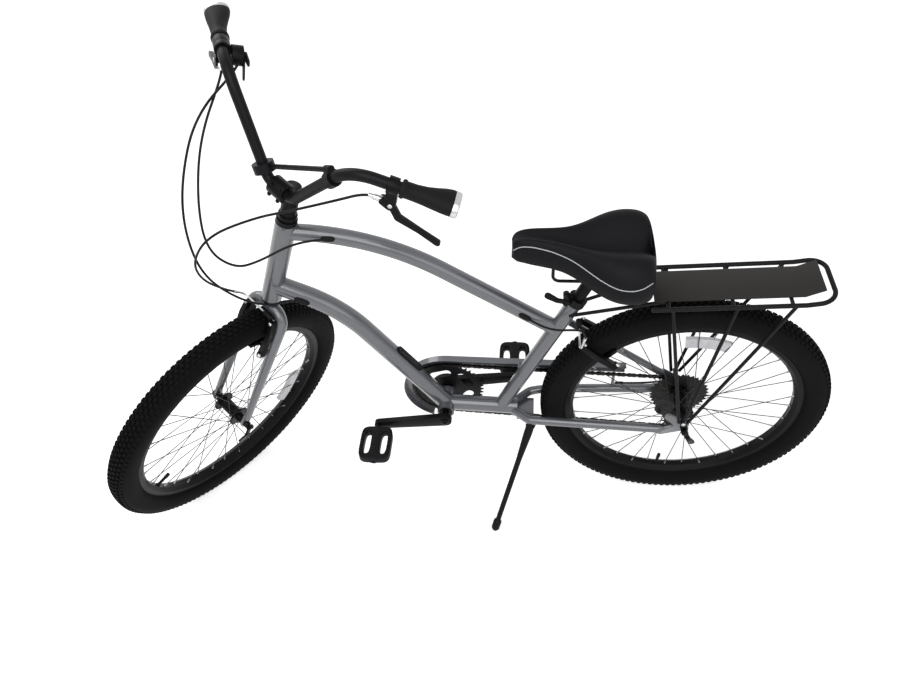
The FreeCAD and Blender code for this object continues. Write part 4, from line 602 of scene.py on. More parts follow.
def gripFrame(side):
    top, end = barPoint(side, "top"), barPoint(side, "end")
    out = (end - top).normalized()
    down = (out * steerUp.dot(out) - steerUp).normalized()
    rider = out.cross(down).normalized() * side
    return end, out, down, rider


def leverPoint(side, along, below):
    end, out, down, rider = gripFrame(side)
    return end - out * (controls["gripLength"] + controls["inset"]) + out * along + down * below


def brakeFrame(tag):
    axle, lateral = (frontAxle, acrossWay) if tag == "front" else (rearAxle, leftWay)
    foot = spot(tag + "_arm_left_swing")
    radial = foot - axle
    radial = (radial - lateral * radial.dot(lateral)).normalized()
    tangent = turnWay(tag + "_arm_left_swing")
    wanted = steerAhead if tag == "front" else upWay
    tangent = tangent if tangent.dot(wanted) > 0 else -tangent
    return axle, radial, tangent, lateral


noodleLook = {"circle": 0.25, "height": 0.1075, "depth": 0.0253, "tip": 0.006, "corner": 0.058, "rise": 0.020,
              "reach": 0.038, "radius": 0.0026, "bend": 0.015}


def noodlePoints(tag, side):
    axle, radial, tangent, lateral = brakeFrame(tag)
    base = axle + radial * (noodleLook["circle"] + noodleLook["height"]) + tangent * noodleLook["depth"]
    corner = base + lateral * (side * noodleLook["corner"])
    end = corner + radial * noodleLook["rise"] + tangent * noodleLook["reach"]
    return [base - lateral * (side * noodleLook["tip"]), corner, end]


frontRoute = {
    "steered": [(0.160, 0.824, 0.070), (0.090, 0.758, 0.101), (0.020, 0.690, 0.110), (-0.025, 0.640, 0.178),
                (-0.050, 0.553, 0.188), (-0.060, 0.470, 0.150)],
    "lead": 0.016, "noodleLead": 0.0342}
rearRoute = {
    "steered": [(-0.165, 0.740, 0.095), (-0.100, 0.650, 0.145), (-0.045, 0.575, 0.160),
                (0.005, 0.550, 0.128)],
    "fixed": [(0.9228, 0.076, 0.8492), (0.8658, 0.047, 0.8672), (0.8119, 0.0205, 0.8628),
              (0.7759, 0.0205, 0.8617)],
    "blend": (3, 7)}
shiftRoute = {
    "steered": [(-0.190, 0.770, 0.090), (-0.125, 0.690, 0.165), (-0.085, 0.600, 0.182),
                (-0.050, 0.500, 0.160), (-0.014, 0.428, 0.098), (0.034, 0.410, 0.046)],
    "fixed": [(0.8921, 0.0245, 0.6942), (0.8724, 0.0245, 0.6844)], "blend": (4, 8)}
tails = {
    "brakeCableTail": [(0.392, 0.0195, 0.652), (0.368, 0.021, 0.636), (0.342, 0.036, 0.634),
                       (0.314, 0.052, 0.642), (0.284, 0.062, 0.655), (0.258, 0.060, 0.652)],
    "gearCableTail": [(0.150, -0.0760, 0.318), (0.110, -0.0765, 0.318), (0.052, -0.086, 0.312),
                      (-0.022, -0.096, 0.322), (-0.066, -0.100, 0.300), (-0.050, -0.096, 0.272),
                      (-0.014, -0.086, 0.276)]}


def cableMesh(name, route):
    curve = bpy.data.curves.new(name, "CURVE")
    curve.dimensions = "3D"
    curve.bevel_depth = cableLook["radius"]
    curve.bevel_resolution = cableLook["rings"]
    curve.resolution_u = cableLook["steps"]
    curve.use_fill_caps = True
    spline = curve.splines.new("NURBS")
    spline.points.add(len(route) - 1)
    for control, point in zip(spline.points, route):
        control.co = (*point, 1.0)
    spline.order_u = cableLook["order"]
    spline.use_endpoint_u = True
    holder = bpy.data.objects.new(name, curve)
    scene.collection.objects.link(holder)
    mesh = baked(holder)
    bpy.data.objects.remove(holder)
    bpy.data.curves.remove(curve)
    return mesh


def makeCables():
    lead = frontRoute["lead"]
    start, inward = leverPoint(1, *controls["adjuster"]), -gripFrame(1)[1]
    tip, corner, end = noodlePoints("front", -1)
    front = [start, start + inward * lead] + [steered(*p) for p in frontRoute["steered"]]
    front += [end + (end - corner).normalized() * frontRoute["noodleLead"], end]
    mesh = cableMesh("frontBrakeCable", front)
    place("frontBrakeCable", mesh, [jacket], "steering", "cable_jacket", ["front_brake_cable"])
    end, out, down, rider = gripFrame(-1)
    along, below, behind = controls["pod"]
    pod = leverPoint(-1, along, below) + rider * (behind + controls["podDepth"] / 2)
    pod = pod - out * controls["podRadius"]
    lever = leverPoint(-1, *controls["adjuster"])
    for name, node, start, route in (("rearBrakeCable", "rear_brake_cable", lever, rearRoute),
                                     ("shiftCable", "shift_cable", pod, shiftRoute)):
        points = [start, start - out * lead] + [steered(*p) for p in route["steered"]]
        points += [bike(*p) for p in route["fixed"]]
        mesh = cableMesh(name, points)
        softShade(mesh, 60)
        piece = newObject(name, mesh, [jacket])
        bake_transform(piece)
        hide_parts(node)
    for name, points in tails.items():
        route = [bike(*p) for p in points]
        if name == "brakeCableTail":
            route.append(noodlePoints("rear", 1)[2])
        place(name, cableMesh(name, route), [jacket], "frame", "cable_jacket")


makeCables()
print("cables run")


# Plain frame parts: soft copies of the CAD nodes with the right finish
plainParts = {  # slot: finish, angle kept sharp, width of the broken edges, nodes
    "frame_paint": (paint, 38, 0.0, ["head_tube", "seat_tube", "boom_tube", "chain_stays",
                                     "seat_stays", "fork"]),
    "black_satin": (black, 46, 0.0, ["headset_cups", "kickstand_leg", "kickstand_bracket", "seat_collar",
                                     "bottom_bracket", "chainring"]),
    "black_alloy": (alloy, 38, 0.0005, ["stem", "crank_arms", "front_hub", "rear_hub", "control_brackets",
                                        "left_brake_lever", "right_brake_lever", "seat_post",
                                        "derailleur_body", "bottle_mount"]),
    "bright_steel": (gearSteel, 35, 0.0002, ["cassette", "derailleur_cage", "front_axle", "rear_axle"]),
    "bright_alloy": (alloy, 38, 0.0005, ["front_skewer_lever", "rear_skewer_lever", "seat_collar_lever"]),
    "black_plastic": (plastic, 38, 0.0004, ["saddle_frame", "guide_pulley", "tension_pulley",
                                            "shift_thumb_lever", "shift_release_lever"]),
}
bodyOf = {node: body for body, nodes in frame["record"]["behaviour"]["bodies"].items() for node in nodes}


def makePlainParts():
    for slot, (material, angle, edge, nodes) in plainParts.items():
        for node in nodes:
            place(pieceName(node), softened(node, edge), [material], bodyOf[node], slot, [node], angle)


# Bent tubes with fine steps, each cut to fit round the tubes that it meets
steelRuns = {
    "top_tube": {"points": [(0.8838, 0.0, 0.8652), (0.6978, 0.0, 0.8592), (0.316, 0.0, 0.597)],
                 "bend": 0.560, "radius": 0.018, "meets": ("head", "seat")},
    "down_tube": {"points": [(0.9378, 0.0, 0.7172), (0.8000, 0.0, 0.6480), (0.5757, 0.0, 0.3170)],
                  "bend": 0.330, "radius": 0.022, "meets": ("head", "shell", "boom")},
}
meetings = {  # radius and both ends of a tube that is met
    "head": (0.023, (0.0, 0.37, 0.0), (0.0, 0.63, 0.0)),
    "seat": (0.0175, (0.440, 0.0, 0.309), (0.276, 0.0, 0.681)),
    "shell": (0.021, (0.5757, 0.034, 0.317), (0.5757, -0.034, 0.317)),
    "boom": (0.020, (0.398, 0.0, 0.308), (0.5757, 0.0, 0.317)),
}
runLook = {"step": 1.5, "sides": 40, "cutSides": 72}
barLook = {"bends": [0.075, 0.028, 0.028, 0.075], "step": 3.0, "sides": 28}


def trimmed(mesh, cutters):
    holder = newObject("run", mesh, [])
    tools = [newObject("tool", cutter, []) for cutter in cutters]
    for tool in tools:
        trim = holder.modifiers.new("trim", "BOOLEAN")
        trim.operation = "DIFFERENCE"
        trim.solver = "EXACT"
        trim.object = tool
    made = baked(holder)
    for spare in [holder] + tools:
        bpy.data.objects.remove(spare)
    shape = bmesh.new()
    shape.from_mesh(made)
    groups = sorted(islands(shape), key=len)
    bmesh.ops.delete(shape, geom=[vert for group in groups[:-1] for vert in group], context="VERTS")
    shape.to_mesh(made)
    shape.free()
    return made


def makeBentTubes():
    for node, run in steelRuns.items():
        path = roundedPath([bike(*p) for p in run["points"]], [run["bend"]], runLook["step"])
        cutters = []
        for tag in run["meets"]:
            radius, low, high = meetings[tag]
            ends = [steered(*low), steered(*high)] if tag == "head" else [bike(*low), bike(*high)]
            cutters.append(tubeMesh("cutter", ends, radius, runLook["cutSides"]))
        mesh = trimmed(tubeMesh(node, path, run["radius"], runLook["sides"]), cutters)
        place(pieceName(node), mesh, [paint], "frame", "frame_paint", [node], 30)
    bends = ("foot", "top", "end")
    points = [barPoint(1, bend) for bend in bends[::-1]] + [barPoint(-1, bend) for bend in bends]
    path = roundedPath(points, barLook["bends"], barLook["step"])
    mesh = tubeMesh("handlebar", path, barShape["radius"], barLook["sides"])
    place("handlebar", mesh, [black], "steering", "black_satin", ["handlebar"], 40)


# Rear rack: a bent rail, cross bars, struts and stays, with its sheet deck
rackShape = {
    "rail": [(0.126, 0.065, 0.722), (-0.176, 0.065, 0.745), (-0.234, 0.065, 0.757)], "corner": 0.034,
    "cross": [0.092, -0.036, -0.150], "strutTop": [0.084, -0.044, -0.158],
    "strutFoot": [0.017, 0.007, -0.003], "footOut": 0.081, "footUp": 0.366, "stayIn": 0.040,
    "stayEnd": (0.2888, 0.0165, 0.652), "eye": (0.0735, 0.0855, 0.0055), "railRadius": 0.005,
    "barRadius": 0.004, "step": 5.0, "railSides": 16, "barSides": 14, "eyeSides": 18,
    "bolt": (0.005, 0.0035), "deckEdge": 0.0006}


def rackLevel(x):
    near, far = rackShape["rail"][:2]
    return near[2] + (far[2] - near[2]) * (x - near[0]) / (far[0] - near[0])


def rackBar(start, end):
    return tubeMesh("bar", [bike(*start), bike(*end)], rackShape["barRadius"], rackShape["barSides"])


def makeRack():
    rail, up = rackShape["rail"], rackShape["footUp"]
    half = rail[0][1]
    loop = [bike(*p) for p in rail] + [bike(x, -y, z) for x, y, z in rail[::-1]]
    path = roundedPath(loop, [rackShape["corner"]] * 4, rackShape["step"])
    meshes = [tubeMesh("rail", path, rackShape["railRadius"], rackShape["railSides"])]
    meshes += [rackBar((x, -half, rackLevel(x)), (x, half, rackLevel(x))) for x in rackShape["cross"]]
    spots, stands = [], []
    for side in (1, -1):
        for top, foot in zip(rackShape["strutTop"], rackShape["strutFoot"]):
            low = (foot, side * rackShape["footOut"], up)
            meshes.append(rackBar(low, (top, side * half, rackLevel(top))))
        x, y, z = rackShape["stayEnd"]
        start = rackShape["cross"][0]
        meshes.append(rackBar((start, side * rackShape["stayIn"], rackLevel(start)), (x, side * y, z)))
        inner, outer, radius = rackShape["eye"]
        middle = rackShape["strutFoot"][1]
        ends = [bike(middle, side * inner, up), bike(middle, side * outer, up)]
        meshes.append(tubeMesh("eye", ends, radius, rackShape["eyeSides"]))
        spots.append(ends[1])
        stands.append(leftWay * side)
    place("rackFrame", mergedMesh("rackFrame", meshes), [black], "frame", "black_satin", ["rack_frame"], 50)
    boltsAt("rackBolts", spots, stands, *rackShape["bolt"], steel, "frame", "bright_steel")


def makeDeck():
    deck = softened("rack_deck", rackShape["deckEdge"])
    place("rackDeck", deck, [sheet], "frame", "black_satin", ["rack_deck"], 30)


# Bar brace: black clamps round the bar, a blue-black strut between them
braceLook = {"clamp": 0.019}


def makeBrace():
    mesh = softened("bar_brace")
    rises = [(barPoint(side, "foot"), barPoint(side, "top")) for side in (1, -1)]
    for face in mesh.polygons:
        near = min((face.center - intersect_point_line(face.center, *rise)[0]).length for rise in rises)
        face.material_index = 0 if near < braceLook["clamp"] else 1
    place("barBrace", mesh, [black, blueBlack], "steering", "black_satin", ["bar_brace"], 46)


makePlainParts()
makeBentTubes()
makeRack()
makeBrace()
makeDeck()
print("plain parts finished")


# Chain guard: painted outside and on top; its inside faces get satin black as painted shade
guardLook = {"paintedShadeFacing": 0.7}


def makeGuard():
    mesh = softened("chain_guard")
    for face in mesh.polygons:
        # faces turned towards the bike's middle get satin black: painted shade on the guard's inside
        face.material_index = 1 if face.normal.dot(leftWay) > guardLook["paintedShadeFacing"] else 0
    place("chainGuard", mesh, [paint, black], "frame", "frame_paint", ["chain_guard"], 30)


makeGuard()

# Wheels
tyreShape = {"bead": 0.2795, "height": 0.0605, "half": 0.0305, "steps": 144,
             "curve": [(0.50, 0.0), (0.56, 0.05), (0.70, 0.075), (0.81, 0.125), (0.92, 0.25), (0.99, 0.42),
                       (1.0, 0.54), (0.965, 0.68), (0.86, 0.80), (0.66, 0.885), (0.36, 0.925), (0.0, 0.94)],
             "seat": [(0.40, 0.01), (0.20, 0.03)]}
treadRows = [  # count, radius, offset, turn, lean, block
    (132, 0.3382, 0.0048, 0.0, 4.0, (0.0044, 0.0085, 0.0070)),
    (132, 0.3366, 0.0142, 0.5, 16.0, (0.0046, 0.0080, 0.0068)),
    (132, 0.3306, 0.0228, 0.0, 38.0, (0.0050, 0.0092, 0.0062)),
]
wheelSet = {
    "front": {"flanges": (0.029, 0.029), "valve": 324.5, "reflector": 199.0},
    "rear": {"flanges": (0.032, 0.019), "valve": 275.0, "reflector": 97.0},
}


def wheelFrame(tag):
    if tag == "front":
        return frontAxle, acrossWay, steerAhead, steerAhead.cross(acrossWay)
    return rearAxle, leftWay, aheadWay, aheadWay.cross(leftWay)


def rimWay(tag, degrees):
    axle, axis, first, second = wheelFrame(tag)
    return first * cos(radians(degrees)) + second * sin(radians(degrees))


def makeTyre(tag):
    axle, axis, first, second = wheelFrame(tag)
    half, height, bead = tyreShape["half"], tyreShape["height"], tyreShape["bead"]
    side = [(half * w, bead + height * h) for w, h in tyreShape["curve"]]
    inner = [(half * w, bead + height * h) for w, h in tyreShape["seat"]]
    profile = inner[::-1] + side + [(-w, r) for w, r in side[-2::-1] + inner]
    meshes = [latheMesh("carcass", profile, axle, axis, tyreShape["steps"], first, True)]
    toWheel = Matrix((first, -second, axis)).transposed().to_4x4()
    toWheel.translation = axle
    for count, radius, offset, turn, lean, block in treadRows:
        for way in (1, -1):
            turned = (turn + (0.5 if way < 0 else 0)) * 2 * pi / count
            values = {"Count": count, "Radius": radius, "Offset": offset * way, "Turn": turned,
                      "Lean": -radians(lean) * way, "Block": block, "Material": tyreSkin}
            row = runTree(meshFrom("row", [(0, 0, 0)], []), tread, values)
            row.transform(toWheel)
            meshes.append(row)
    mesh = mergedMesh(tag + "Tyre", meshes)
    for face in mesh.polygons:
        face.material_index = 0
    place(tag + "Tyre", mesh, [tyreSkin], tag + "_wheel", "tyre_rubber", [tag + "_tyre"], 42)


rimLook = {"track": 0.9}


def makeRim(tag):
    axle, axis, first, second = wheelFrame(tag)
    mesh = softened(tag + "_rim")
    for face in mesh.polygons:
        face.material_index = 1 if abs(face.normal.dot(axis)) > rimLook["track"] else 0
    place(tag + "Rim", mesh, [alloy, trackSteel], tag + "_wheel", "black_alloy", [tag + "_rim"], 30)


spokeShape = {"each": 18, "turn": 60.0, "circle": 0.025, "face": 0.0034, "head": 0.9, "bed": 0.26,
              "step": 0.0018, "radius": 0.00105, "sides": 7,
              "nipple": [(-0.001, 0.0026), (0.003, 0.0026), (0.004, 0.0019), (0.012, 0.0017),
                         (0.0125, 0.0012)], "nippleSides": 8}


def makeSpokes(tag):
    axle, axis, first, second = wheelFrame(tag)
    base = axis.cross(aheadWay).normalized()
    points, edges, ends, ways = [], [], [], []
    step = 360 / spokeShape["each"]
    for flange, phase in ((wheelSet[tag]["flanges"][0], 0), (-wheelSet[tag]["flanges"][1], step / 2)):
        way = 1 if flange > 0 else -1
        for count in range(spokeShape["each"]):
            lead = 1 if count % 2 == 0 else -1
            hubAngle = radians(phase + count * step)
            rimAngle = hubAngle + radians(lead * spokeShape["turn"])
            hubWay = Matrix.Rotation(hubAngle, 3, axis) @ base
            rimOut = Matrix.Rotation(rimAngle, 3, axis) @ base
            hole = axle + hubWay * spokeShape["circle"] + axis * flange
            start = hole + axis * (way * lead * spokeShape["face"])
            end = axle + rimOut * spokeShape["bed"] + axis * (way * (2 + lead) * spokeShape["step"])
            head = len(points)
            points += [hole - axis * (way * lead * spokeShape["face"] * spokeShape["head"]), start, end]
            edges += [(head, head + 1), (head + 1, head + 2)]
            ends.append(end)
            ways.append((start - end).normalized())
    lines = bpy.data.meshes.new("spokeLines")
    lines.from_pydata([tuple(p) for p in points], edges, [])
    values = {"Radius": spokeShape["radius"], "Sides": spokeShape["sides"], "Material": spokeSteel}
    mesh = runTree(lines, bars, values)
    bpy.data.meshes.remove(lines)
    place(tag + "Spokes", mesh, [spokeSteel], tag + "_wheel", "spoke_steel", [tag + "_spokes"], 60)
    nipple = latheMesh("nipple", spokeShape["nipple"], Vector(), zAxis, spokeShape["nippleSides"])
    mesh = scatter(nipple, ends, ways, [w.orthogonal() for w in ways], trackSteel)
    place(tag + "Nipples", mesh, [trackSteel], tag + "_wheel", "bright_steel", angle=40)


valveShape = {"foot": 0.2605, "sides": 16,
              "stem": [(0.0, 0.0062), (0.003, 0.0062), (0.004, 0.0040), (0.024, 0.0036), (0.025, 0.0045),
                       (0.038, 0.0045), (0.0395, 0.0030), (0.0396, 0.0002)]}


def makeValve(tag):
    out = rimWay(tag, wheelSet[tag]["valve"])
    foot = wheelFrame(tag)[0] + out * valveShape["foot"]
    mesh = latheMesh("valve", valveShape["stem"], foot, -out, valveShape["sides"])
    place(tag + "Valve", mesh, [padSkin], tag + "_wheel", "black_plastic", angle=40)


reflectorShape = {"reach": 13.0, "steps": 14,
                  "section": [(-0.006, 0.207), (-0.006, 0.231), (-0.0045, 0.2335), (0.0045, 0.2335),
                              (0.006, 0.231), (0.006, 0.207), (0.0045, 0.2045), (-0.0045, 0.2045)]}


def makeReflector(tag):
    # a curved clip-on bar that lies on the spokes between the two flanges
    axle, axis, first, second = wheelFrame(tag)
    reach, steps = reflectorShape["reach"], reflectorShape["steps"]
    rings = []
    for step in range(steps + 1):
        way = rimWay(tag, wheelSet[tag]["reflector"] + reach * (2 * step / steps - 1))
        rings.append([axle + axis * offset + way * radius for offset, radius in reflectorShape["section"]])
    place(tag + "Reflector", skinRings("reflector", rings), [lens], tag + "_wheel", "bright_steel", angle=30)


for tag in ("front", "rear"):
    makeTyre(tag)
    makeRim(tag)
    makeSpokes(tag)
    makeValve(tag)
    makeReflector(tag)
print("wheels built")


# Brakes: arms with pads, bent guide tubes, boots, bare inner wire and bolts
brakeLook = {"edge": 0.0004, "padCorners": 8, "pivot": 0.0323, "pivotBolt": (0.0062, 0.005),
             "cable": (0.041, -0.0085, 0.007), "cableBolt": (0.0042, 0.004), "sides": 14,
             "collar": [(-0.010, 0.0027), (-0.010, 0.0036), (-0.0005, 0.0036), (-0.0002, 0.0026)],
             "collarSides": 16, "wire": 0.0008, "wireSides": 8, "wireStart": 0.0005}
bootShape = {"start": 0.010, "end": 0.0355, "ribs": 5, "large": 0.0072, "small": 0.0058, "least": 0.72,
             "bore": 0.0031, "sides": 18, "clamp": 0.043, "keep": 0.34, "wireKeep": 0.5}


def armSolids(group, groups):
    # the arm itself and its pad: other solids of the node have pieces of their own
    return len(group) == brakeLook["padCorners"] or len(group) == max(len(other) for other in groups)


def bootProfile():
    start, rows, least = bootShape["start"], bootShape["ribs"] * 2, bootShape["least"]
    ribs = []
    for k in range(rows + 1):
        size = bootShape["large"] if k % 2 == 0 else bootShape["small"]
        ribs.append((start + (bootShape["end"] - start) * k / rows, size * (least + (1 - least) * k / rows)))
    return [(ribs[0][0], bootShape["bore"])] + ribs + [(ribs[-1][0], bootShape["bore"])]


def makeBrake(tag, noodleSide):
    axle, radial, tangent, lateral = brakeFrame(tag)
    base = axle + radial * (noodleLook["circle"] + noodleLook["height"]) + tangent * noodleLook["depth"]
    body = {1: tag + "_arm_left", -1: tag + "_arm_right"}
    for side, word in ((1, "left"), (-1, "right")):
        node = tag + "_brake_arm_" + word
        mesh = softened(node, brakeLook["edge"], armSolids)
        place(pieceName(node), mesh, [alloy], body[side], "black_alloy", [node], 38)
        foot = spot(body[side] + "_swing") + tangent * brakeLook["pivot"]
        across, up, ahead = brakeLook["cable"]
        top = base + lateral * (side * across) + radial * up + tangent * ahead
        for kind, where, size in (("PivotBolt", foot, "pivotBolt"), ("CableBolt", top, "cableBolt")):
            name = tag + word.capitalize() + kind
            boltsAt(name, [where], [tangent], *brakeLook[size], steel, body[side], "bright_steel")
    points = noodlePoints(tag, noodleSide)
    path = roundedPath(points, [noodleLook["bend"]])
    tube = tubeMesh("noodle", path, noodleLook["radius"], brakeLook["sides"])
    out = (points[2] - points[1]).normalized()
    collar = latheMesh("collar", brakeLook["collar"], points[2], out, brakeLook["collarSides"])
    guide = mergedMesh("noodle", [tube, collar])
    place(tag + "Noodle", guide, [steel], body[noodleSide], "bright_steel", angle=40)
    way = -lateral * noodleSide
    boot = latheMesh("boot", bootProfile(), base, way, bootShape["sides"], loop=True)
    boot = place(tag + "Boot", boot, [padSkin], body[-noodleSide], "grip_rubber", angle=50)
    clampEnd = base + way * bootShape["clamp"]
    ends = [points[0] + way * brakeLook["wireStart"], clampEnd]
    wire = tubeMesh("wire", ends, brakeLook["wire"], brakeLook["wireSides"])
    wire = place(tag + "InnerWire", wire, [steel], body[-noodleSide], "bright_steel", angle=60)
    bootEnd, line = base + way * bootShape["end"], tuple(way)
    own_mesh(boot)
    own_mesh(wire)


makeBrake("front", -1)
makeBrake("rear", 1)
print("brakes built")


# Chain: plates, rollers and pins on the places of the CAD links
chainShape = {"pitch": 0.0127, "end": 0.0041, "waist": 0.0031, "plate": 0.00095, "wrap": 200, "arc": 7,
              "roller": 0.00385, "rollerHalf": 0.0012, "rollerBore": 0.0006, "rollerSides": 10,
              "pin": 0.0018, "pinLength": 0.0066, "pinSides": 8, "longest": 0.006,
              "front": 0.125, "guideTop": 0.281, "guideFoot": 0.233,
              "chainGuide": ((0.038, -0.045, 0.272), (0.020, -0.045, 0.238)),
              "chainTail": ((0.118, -0.045, 0.1935), (0.002, -0.045, 0.1848))}


def plateTemplate():
    half, end, waist = chainShape["pitch"] / 2, chainShape["end"], chainShape["waist"]
    wrap, arc, thick = chainShape["wrap"], chainShape["arc"], chainShape["plate"] / 2
    outline = []
    for centre, middle in ((half, 0), (-half, 180)):
        for k in range(arc + 1):
            angle = radians(middle + wrap * (k / arc - 0.5))
            outline.append((centre + end * cos(angle), end * sin(angle)))
        outline.append((0.0, waist if centre > 0 else -waist))
    count = len(outline)
    points = [(x, y, z) for z in (-thick, thick) for x, y in outline]
    faces = [tuple(range(count))[::-1], tuple(range(count, 2 * count))]
    faces += [(k, (k + 1) % count, (k + 1) % count + count, k + count) for k in range(count)]
    return meshFrom("plate", points, faces)


def rollerTemplate():
    size, wide, bore = chainShape["roller"], chainShape["rollerHalf"], chainShape["rollerBore"]
    pin, half = chainShape["pin"], chainShape["pinLength"] / 2
    outline = [(-wide, bore), (-wide, size), (wide, size), (wide, bore)]
    roller = latheMesh("roller", outline, Vector(), zAxis, chainShape["rollerSides"])
    outline = [(-half, 0.0002), (-half, pin), (half, pin), (half, 0.0002)]
    rivet = latheMesh("rivet", outline, Vector(), zAxis, chainShape["pinSides"])
    return mergedMesh("rollerAndPin", [roller, rivet])


def chainPart(point):
    # sorts each link into the run or into one of the two groups over the pulleys
    ahead, up = (point - bike(0, 0, 0)).dot(aheadWay), (point - bike(0, 0, 0)).dot(upWay)
    if ahead > chainShape["front"] or up > chainShape["guideTop"]:
        return "chainRun"
    return "chainGuide" if up > chainShape["guideFoot"] and ahead > 0.0 else "chainTail"


def makeChain():
    shape = nodeShape("chain")
    plates, rollers = [], []
    for group in islands(shape):
        spots = np.array([tuple(vert.co) for vert in group])
        middle = spots.mean(axis=0)
        spread, ways = np.linalg.eigh(np.cov((spots - middle).T))
        if np.sqrt(spread[2]) > chainShape["longest"]:
            plates.append((Vector(middle), Vector(ways[:, 2])))
        else:
            rollers.append(Vector(middle))
    shape.free()
    for name in ("chainRun", "chainGuide", "chainTail"):
        links = [(p, way) for p, way in plates if chainPart(p) == name]
        joins = [p for p in rollers if chainPart(p) == name]
        spots, alongs = [p for p, way in links], [way for p, way in links]
        mesh = scatter(plateTemplate(), spots, [leftWay] * len(spots), alongs, gearSteel)
        stands, alongs = [leftWay] * len(joins), [aheadWay] * len(joins)
        pins = scatter(rollerTemplate(), joins, stands, alongs, gearSteel)
        mesh = mergedMesh(name, [mesh, pins])
        if name == "chainRun":
            place(name, mesh, [gearSteel], "frame", "bright_steel", ["chain"], 40)
            continue
        softShade(mesh, 40)
        piece = newObject(name, mesh, [gearSteel])
        start, end = chainShape[name]
        tuple(bike(*start))
        tuple(bike(*end))
        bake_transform(piece)


makeChain()
print("chain linked")


# Saddle: a padded cover through smooth cross sections, with a pale cord let into each side
saddleShape = {
    "nose": 0.416, "rear": 0.131, "half": 0.116, "height": 0.096, "bottom": 0.768,
    "station": [0.0, 0.04, 0.14, 0.28, 0.42, 0.55, 0.67, 0.78, 0.89, 0.97, 1.0],
    "width": [0.14, 0.21, 0.26, 0.31, 0.42, 0.68, 0.91, 1.0, 1.0, 0.92, 0.74],
    "top": [0.86, 0.97, 1.0, 0.97, 0.93, 0.93, 0.97, 1.0, 1.0, 0.94, 0.80],
    "floor": [0.50, 0.45, 0.41, 0.34, 0.25, 0.13, 0.04, 0.0, 0.0, 0.05, 0.14],
    "dip": [0.01, 0.02, 0.05, 0.11, 0.21, 0.33, 0.40, 0.43, 0.44, 0.43, 0.38],
    "ring": [(0.84, 0.0, 0.0), (0.96, 0.16, 0.0), (1.0, 0.36, 0.0), (0.97, 0.60, 0.0), (0.88, 0.84, 0.0),
             (0.70, 1.0, 0.0), (0.48, 1.03, 0.06), (0.24, 1.0, 0.52), (0.0, 1.0, 1.0)],
    "grow": 1.035, "levels": 3}


def saddlePoint(k, y, z, d, grow):
    shape = saddleShape
    x = shape["nose"] + (shape["rear"] - shape["nose"]) * shape["station"][k]
    floor = shape["bottom"] + shape["height"] * shape["floor"][k]
    tall = shape["height"] * (shape["top"][k] - shape["floor"][k])
    wide, dip = shape["half"] * shape["width"][k], shape["height"] * shape["dip"][k]
    return x, wide * y * grow, floor + tall * z * (grow if z > 0.5 else 1.0) - dip * d


def makeSaddle():
    shape = saddleShape
    rings = []
    for k in range(len(shape["station"])):
        left = [saddlePoint(k, y, z, d, shape["grow"]) for y, z, d in shape["ring"]]
        rings.append([bike(*p) for p in left + [(x, -y, z) for x, y, z in left[-2::-1]]])
    count, points = len(rings[0]), [p for ring in rings for p in ring]
    faces = ringFaces(count, len(rings))
    for start in (0, len(points) - count):
        for s in range(count // 2):
            far = start + count - 1 - s
            faces.append((start + s, start + s + 1, far - 1, far)[:4 if s < count // 2 - 1 else 3])
    mesh = meshFrom("saddleCover", points, faces)
    outward(mesh)
    piece = newObject("saddleCover", mesh, [vinyl])
    smoother = piece.modifiers.new("smooth", "SUBSURF")
    smoother.levels = smoother.render_levels = shape["levels"]
    finished = baked(piece)
    piece.modifiers.clear()
    piece.data = finished
    bpy.data.meshes.remove(mesh)
    softShade(finished, 60)
    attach(piece, "seat")
    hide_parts("saddle_cover")
    return piece


pipingShape = {"radius": 0.0011, "sides": 8, "steps": 60, "outside": 1.2, "proud": 0.0002,
               "line": [(0.0, 0.62), (0.03, 0.78), (0.08, 0.88), (0.16, 0.90), (0.25, 0.87), (0.36, 0.81),
                        (0.48, 0.73), (0.60, 0.66), (0.72, 0.62), (0.83, 0.63), (0.92, 0.70), (0.99, 0.82)]}


def makePiping(cover):
    shape = bmesh.new()
    shape.from_mesh(cover.data)
    skin = BVHTree.FromBMesh(shape)
    cords = []
    stations, line = saddleShape["station"], pipingShape["line"]
    for side in (1, -1):
        path = []
        for step in range(pipingShape["steps"] + 1):
            along = line[-1][0] * step / pipingShape["steps"]
            level = np.interp(along, [s for s, z in line], [z for s, z in line])
            rows = [saddleShape[word] for word in ("width", "top", "floor")]
            wide, top, low = [np.interp(along, stations, row) for row in rows]
            x = saddleShape["nose"] + (saddleShape["rear"] - saddleShape["nose"]) * along
            z = saddleShape["bottom"] + saddleShape["height"] * (low + (top - low) * level)
            aim = bike(x, side * saddleShape["half"] * wide * pipingShape["outside"], z)
            hit, normal = skin.find_nearest(aim)[:2]
            path.append(hit + normal * pipingShape["proud"])
        path = [path[0]] + [(a + b * 2 + c) / 4 for a, b, c in zip(path, path[1:], path[2:])] + [path[-1]]
        cords.append(tubeMesh("piping", path, pipingShape["radius"], pipingShape["sides"]))
    shape.free()
    place("saddlePiping", mergedMesh("saddlePiping", cords), [pipingSkin], "seat", "grip_rubber", angle=60)


cover = makeSaddle()
makePiping(cover)
print("saddle padded")


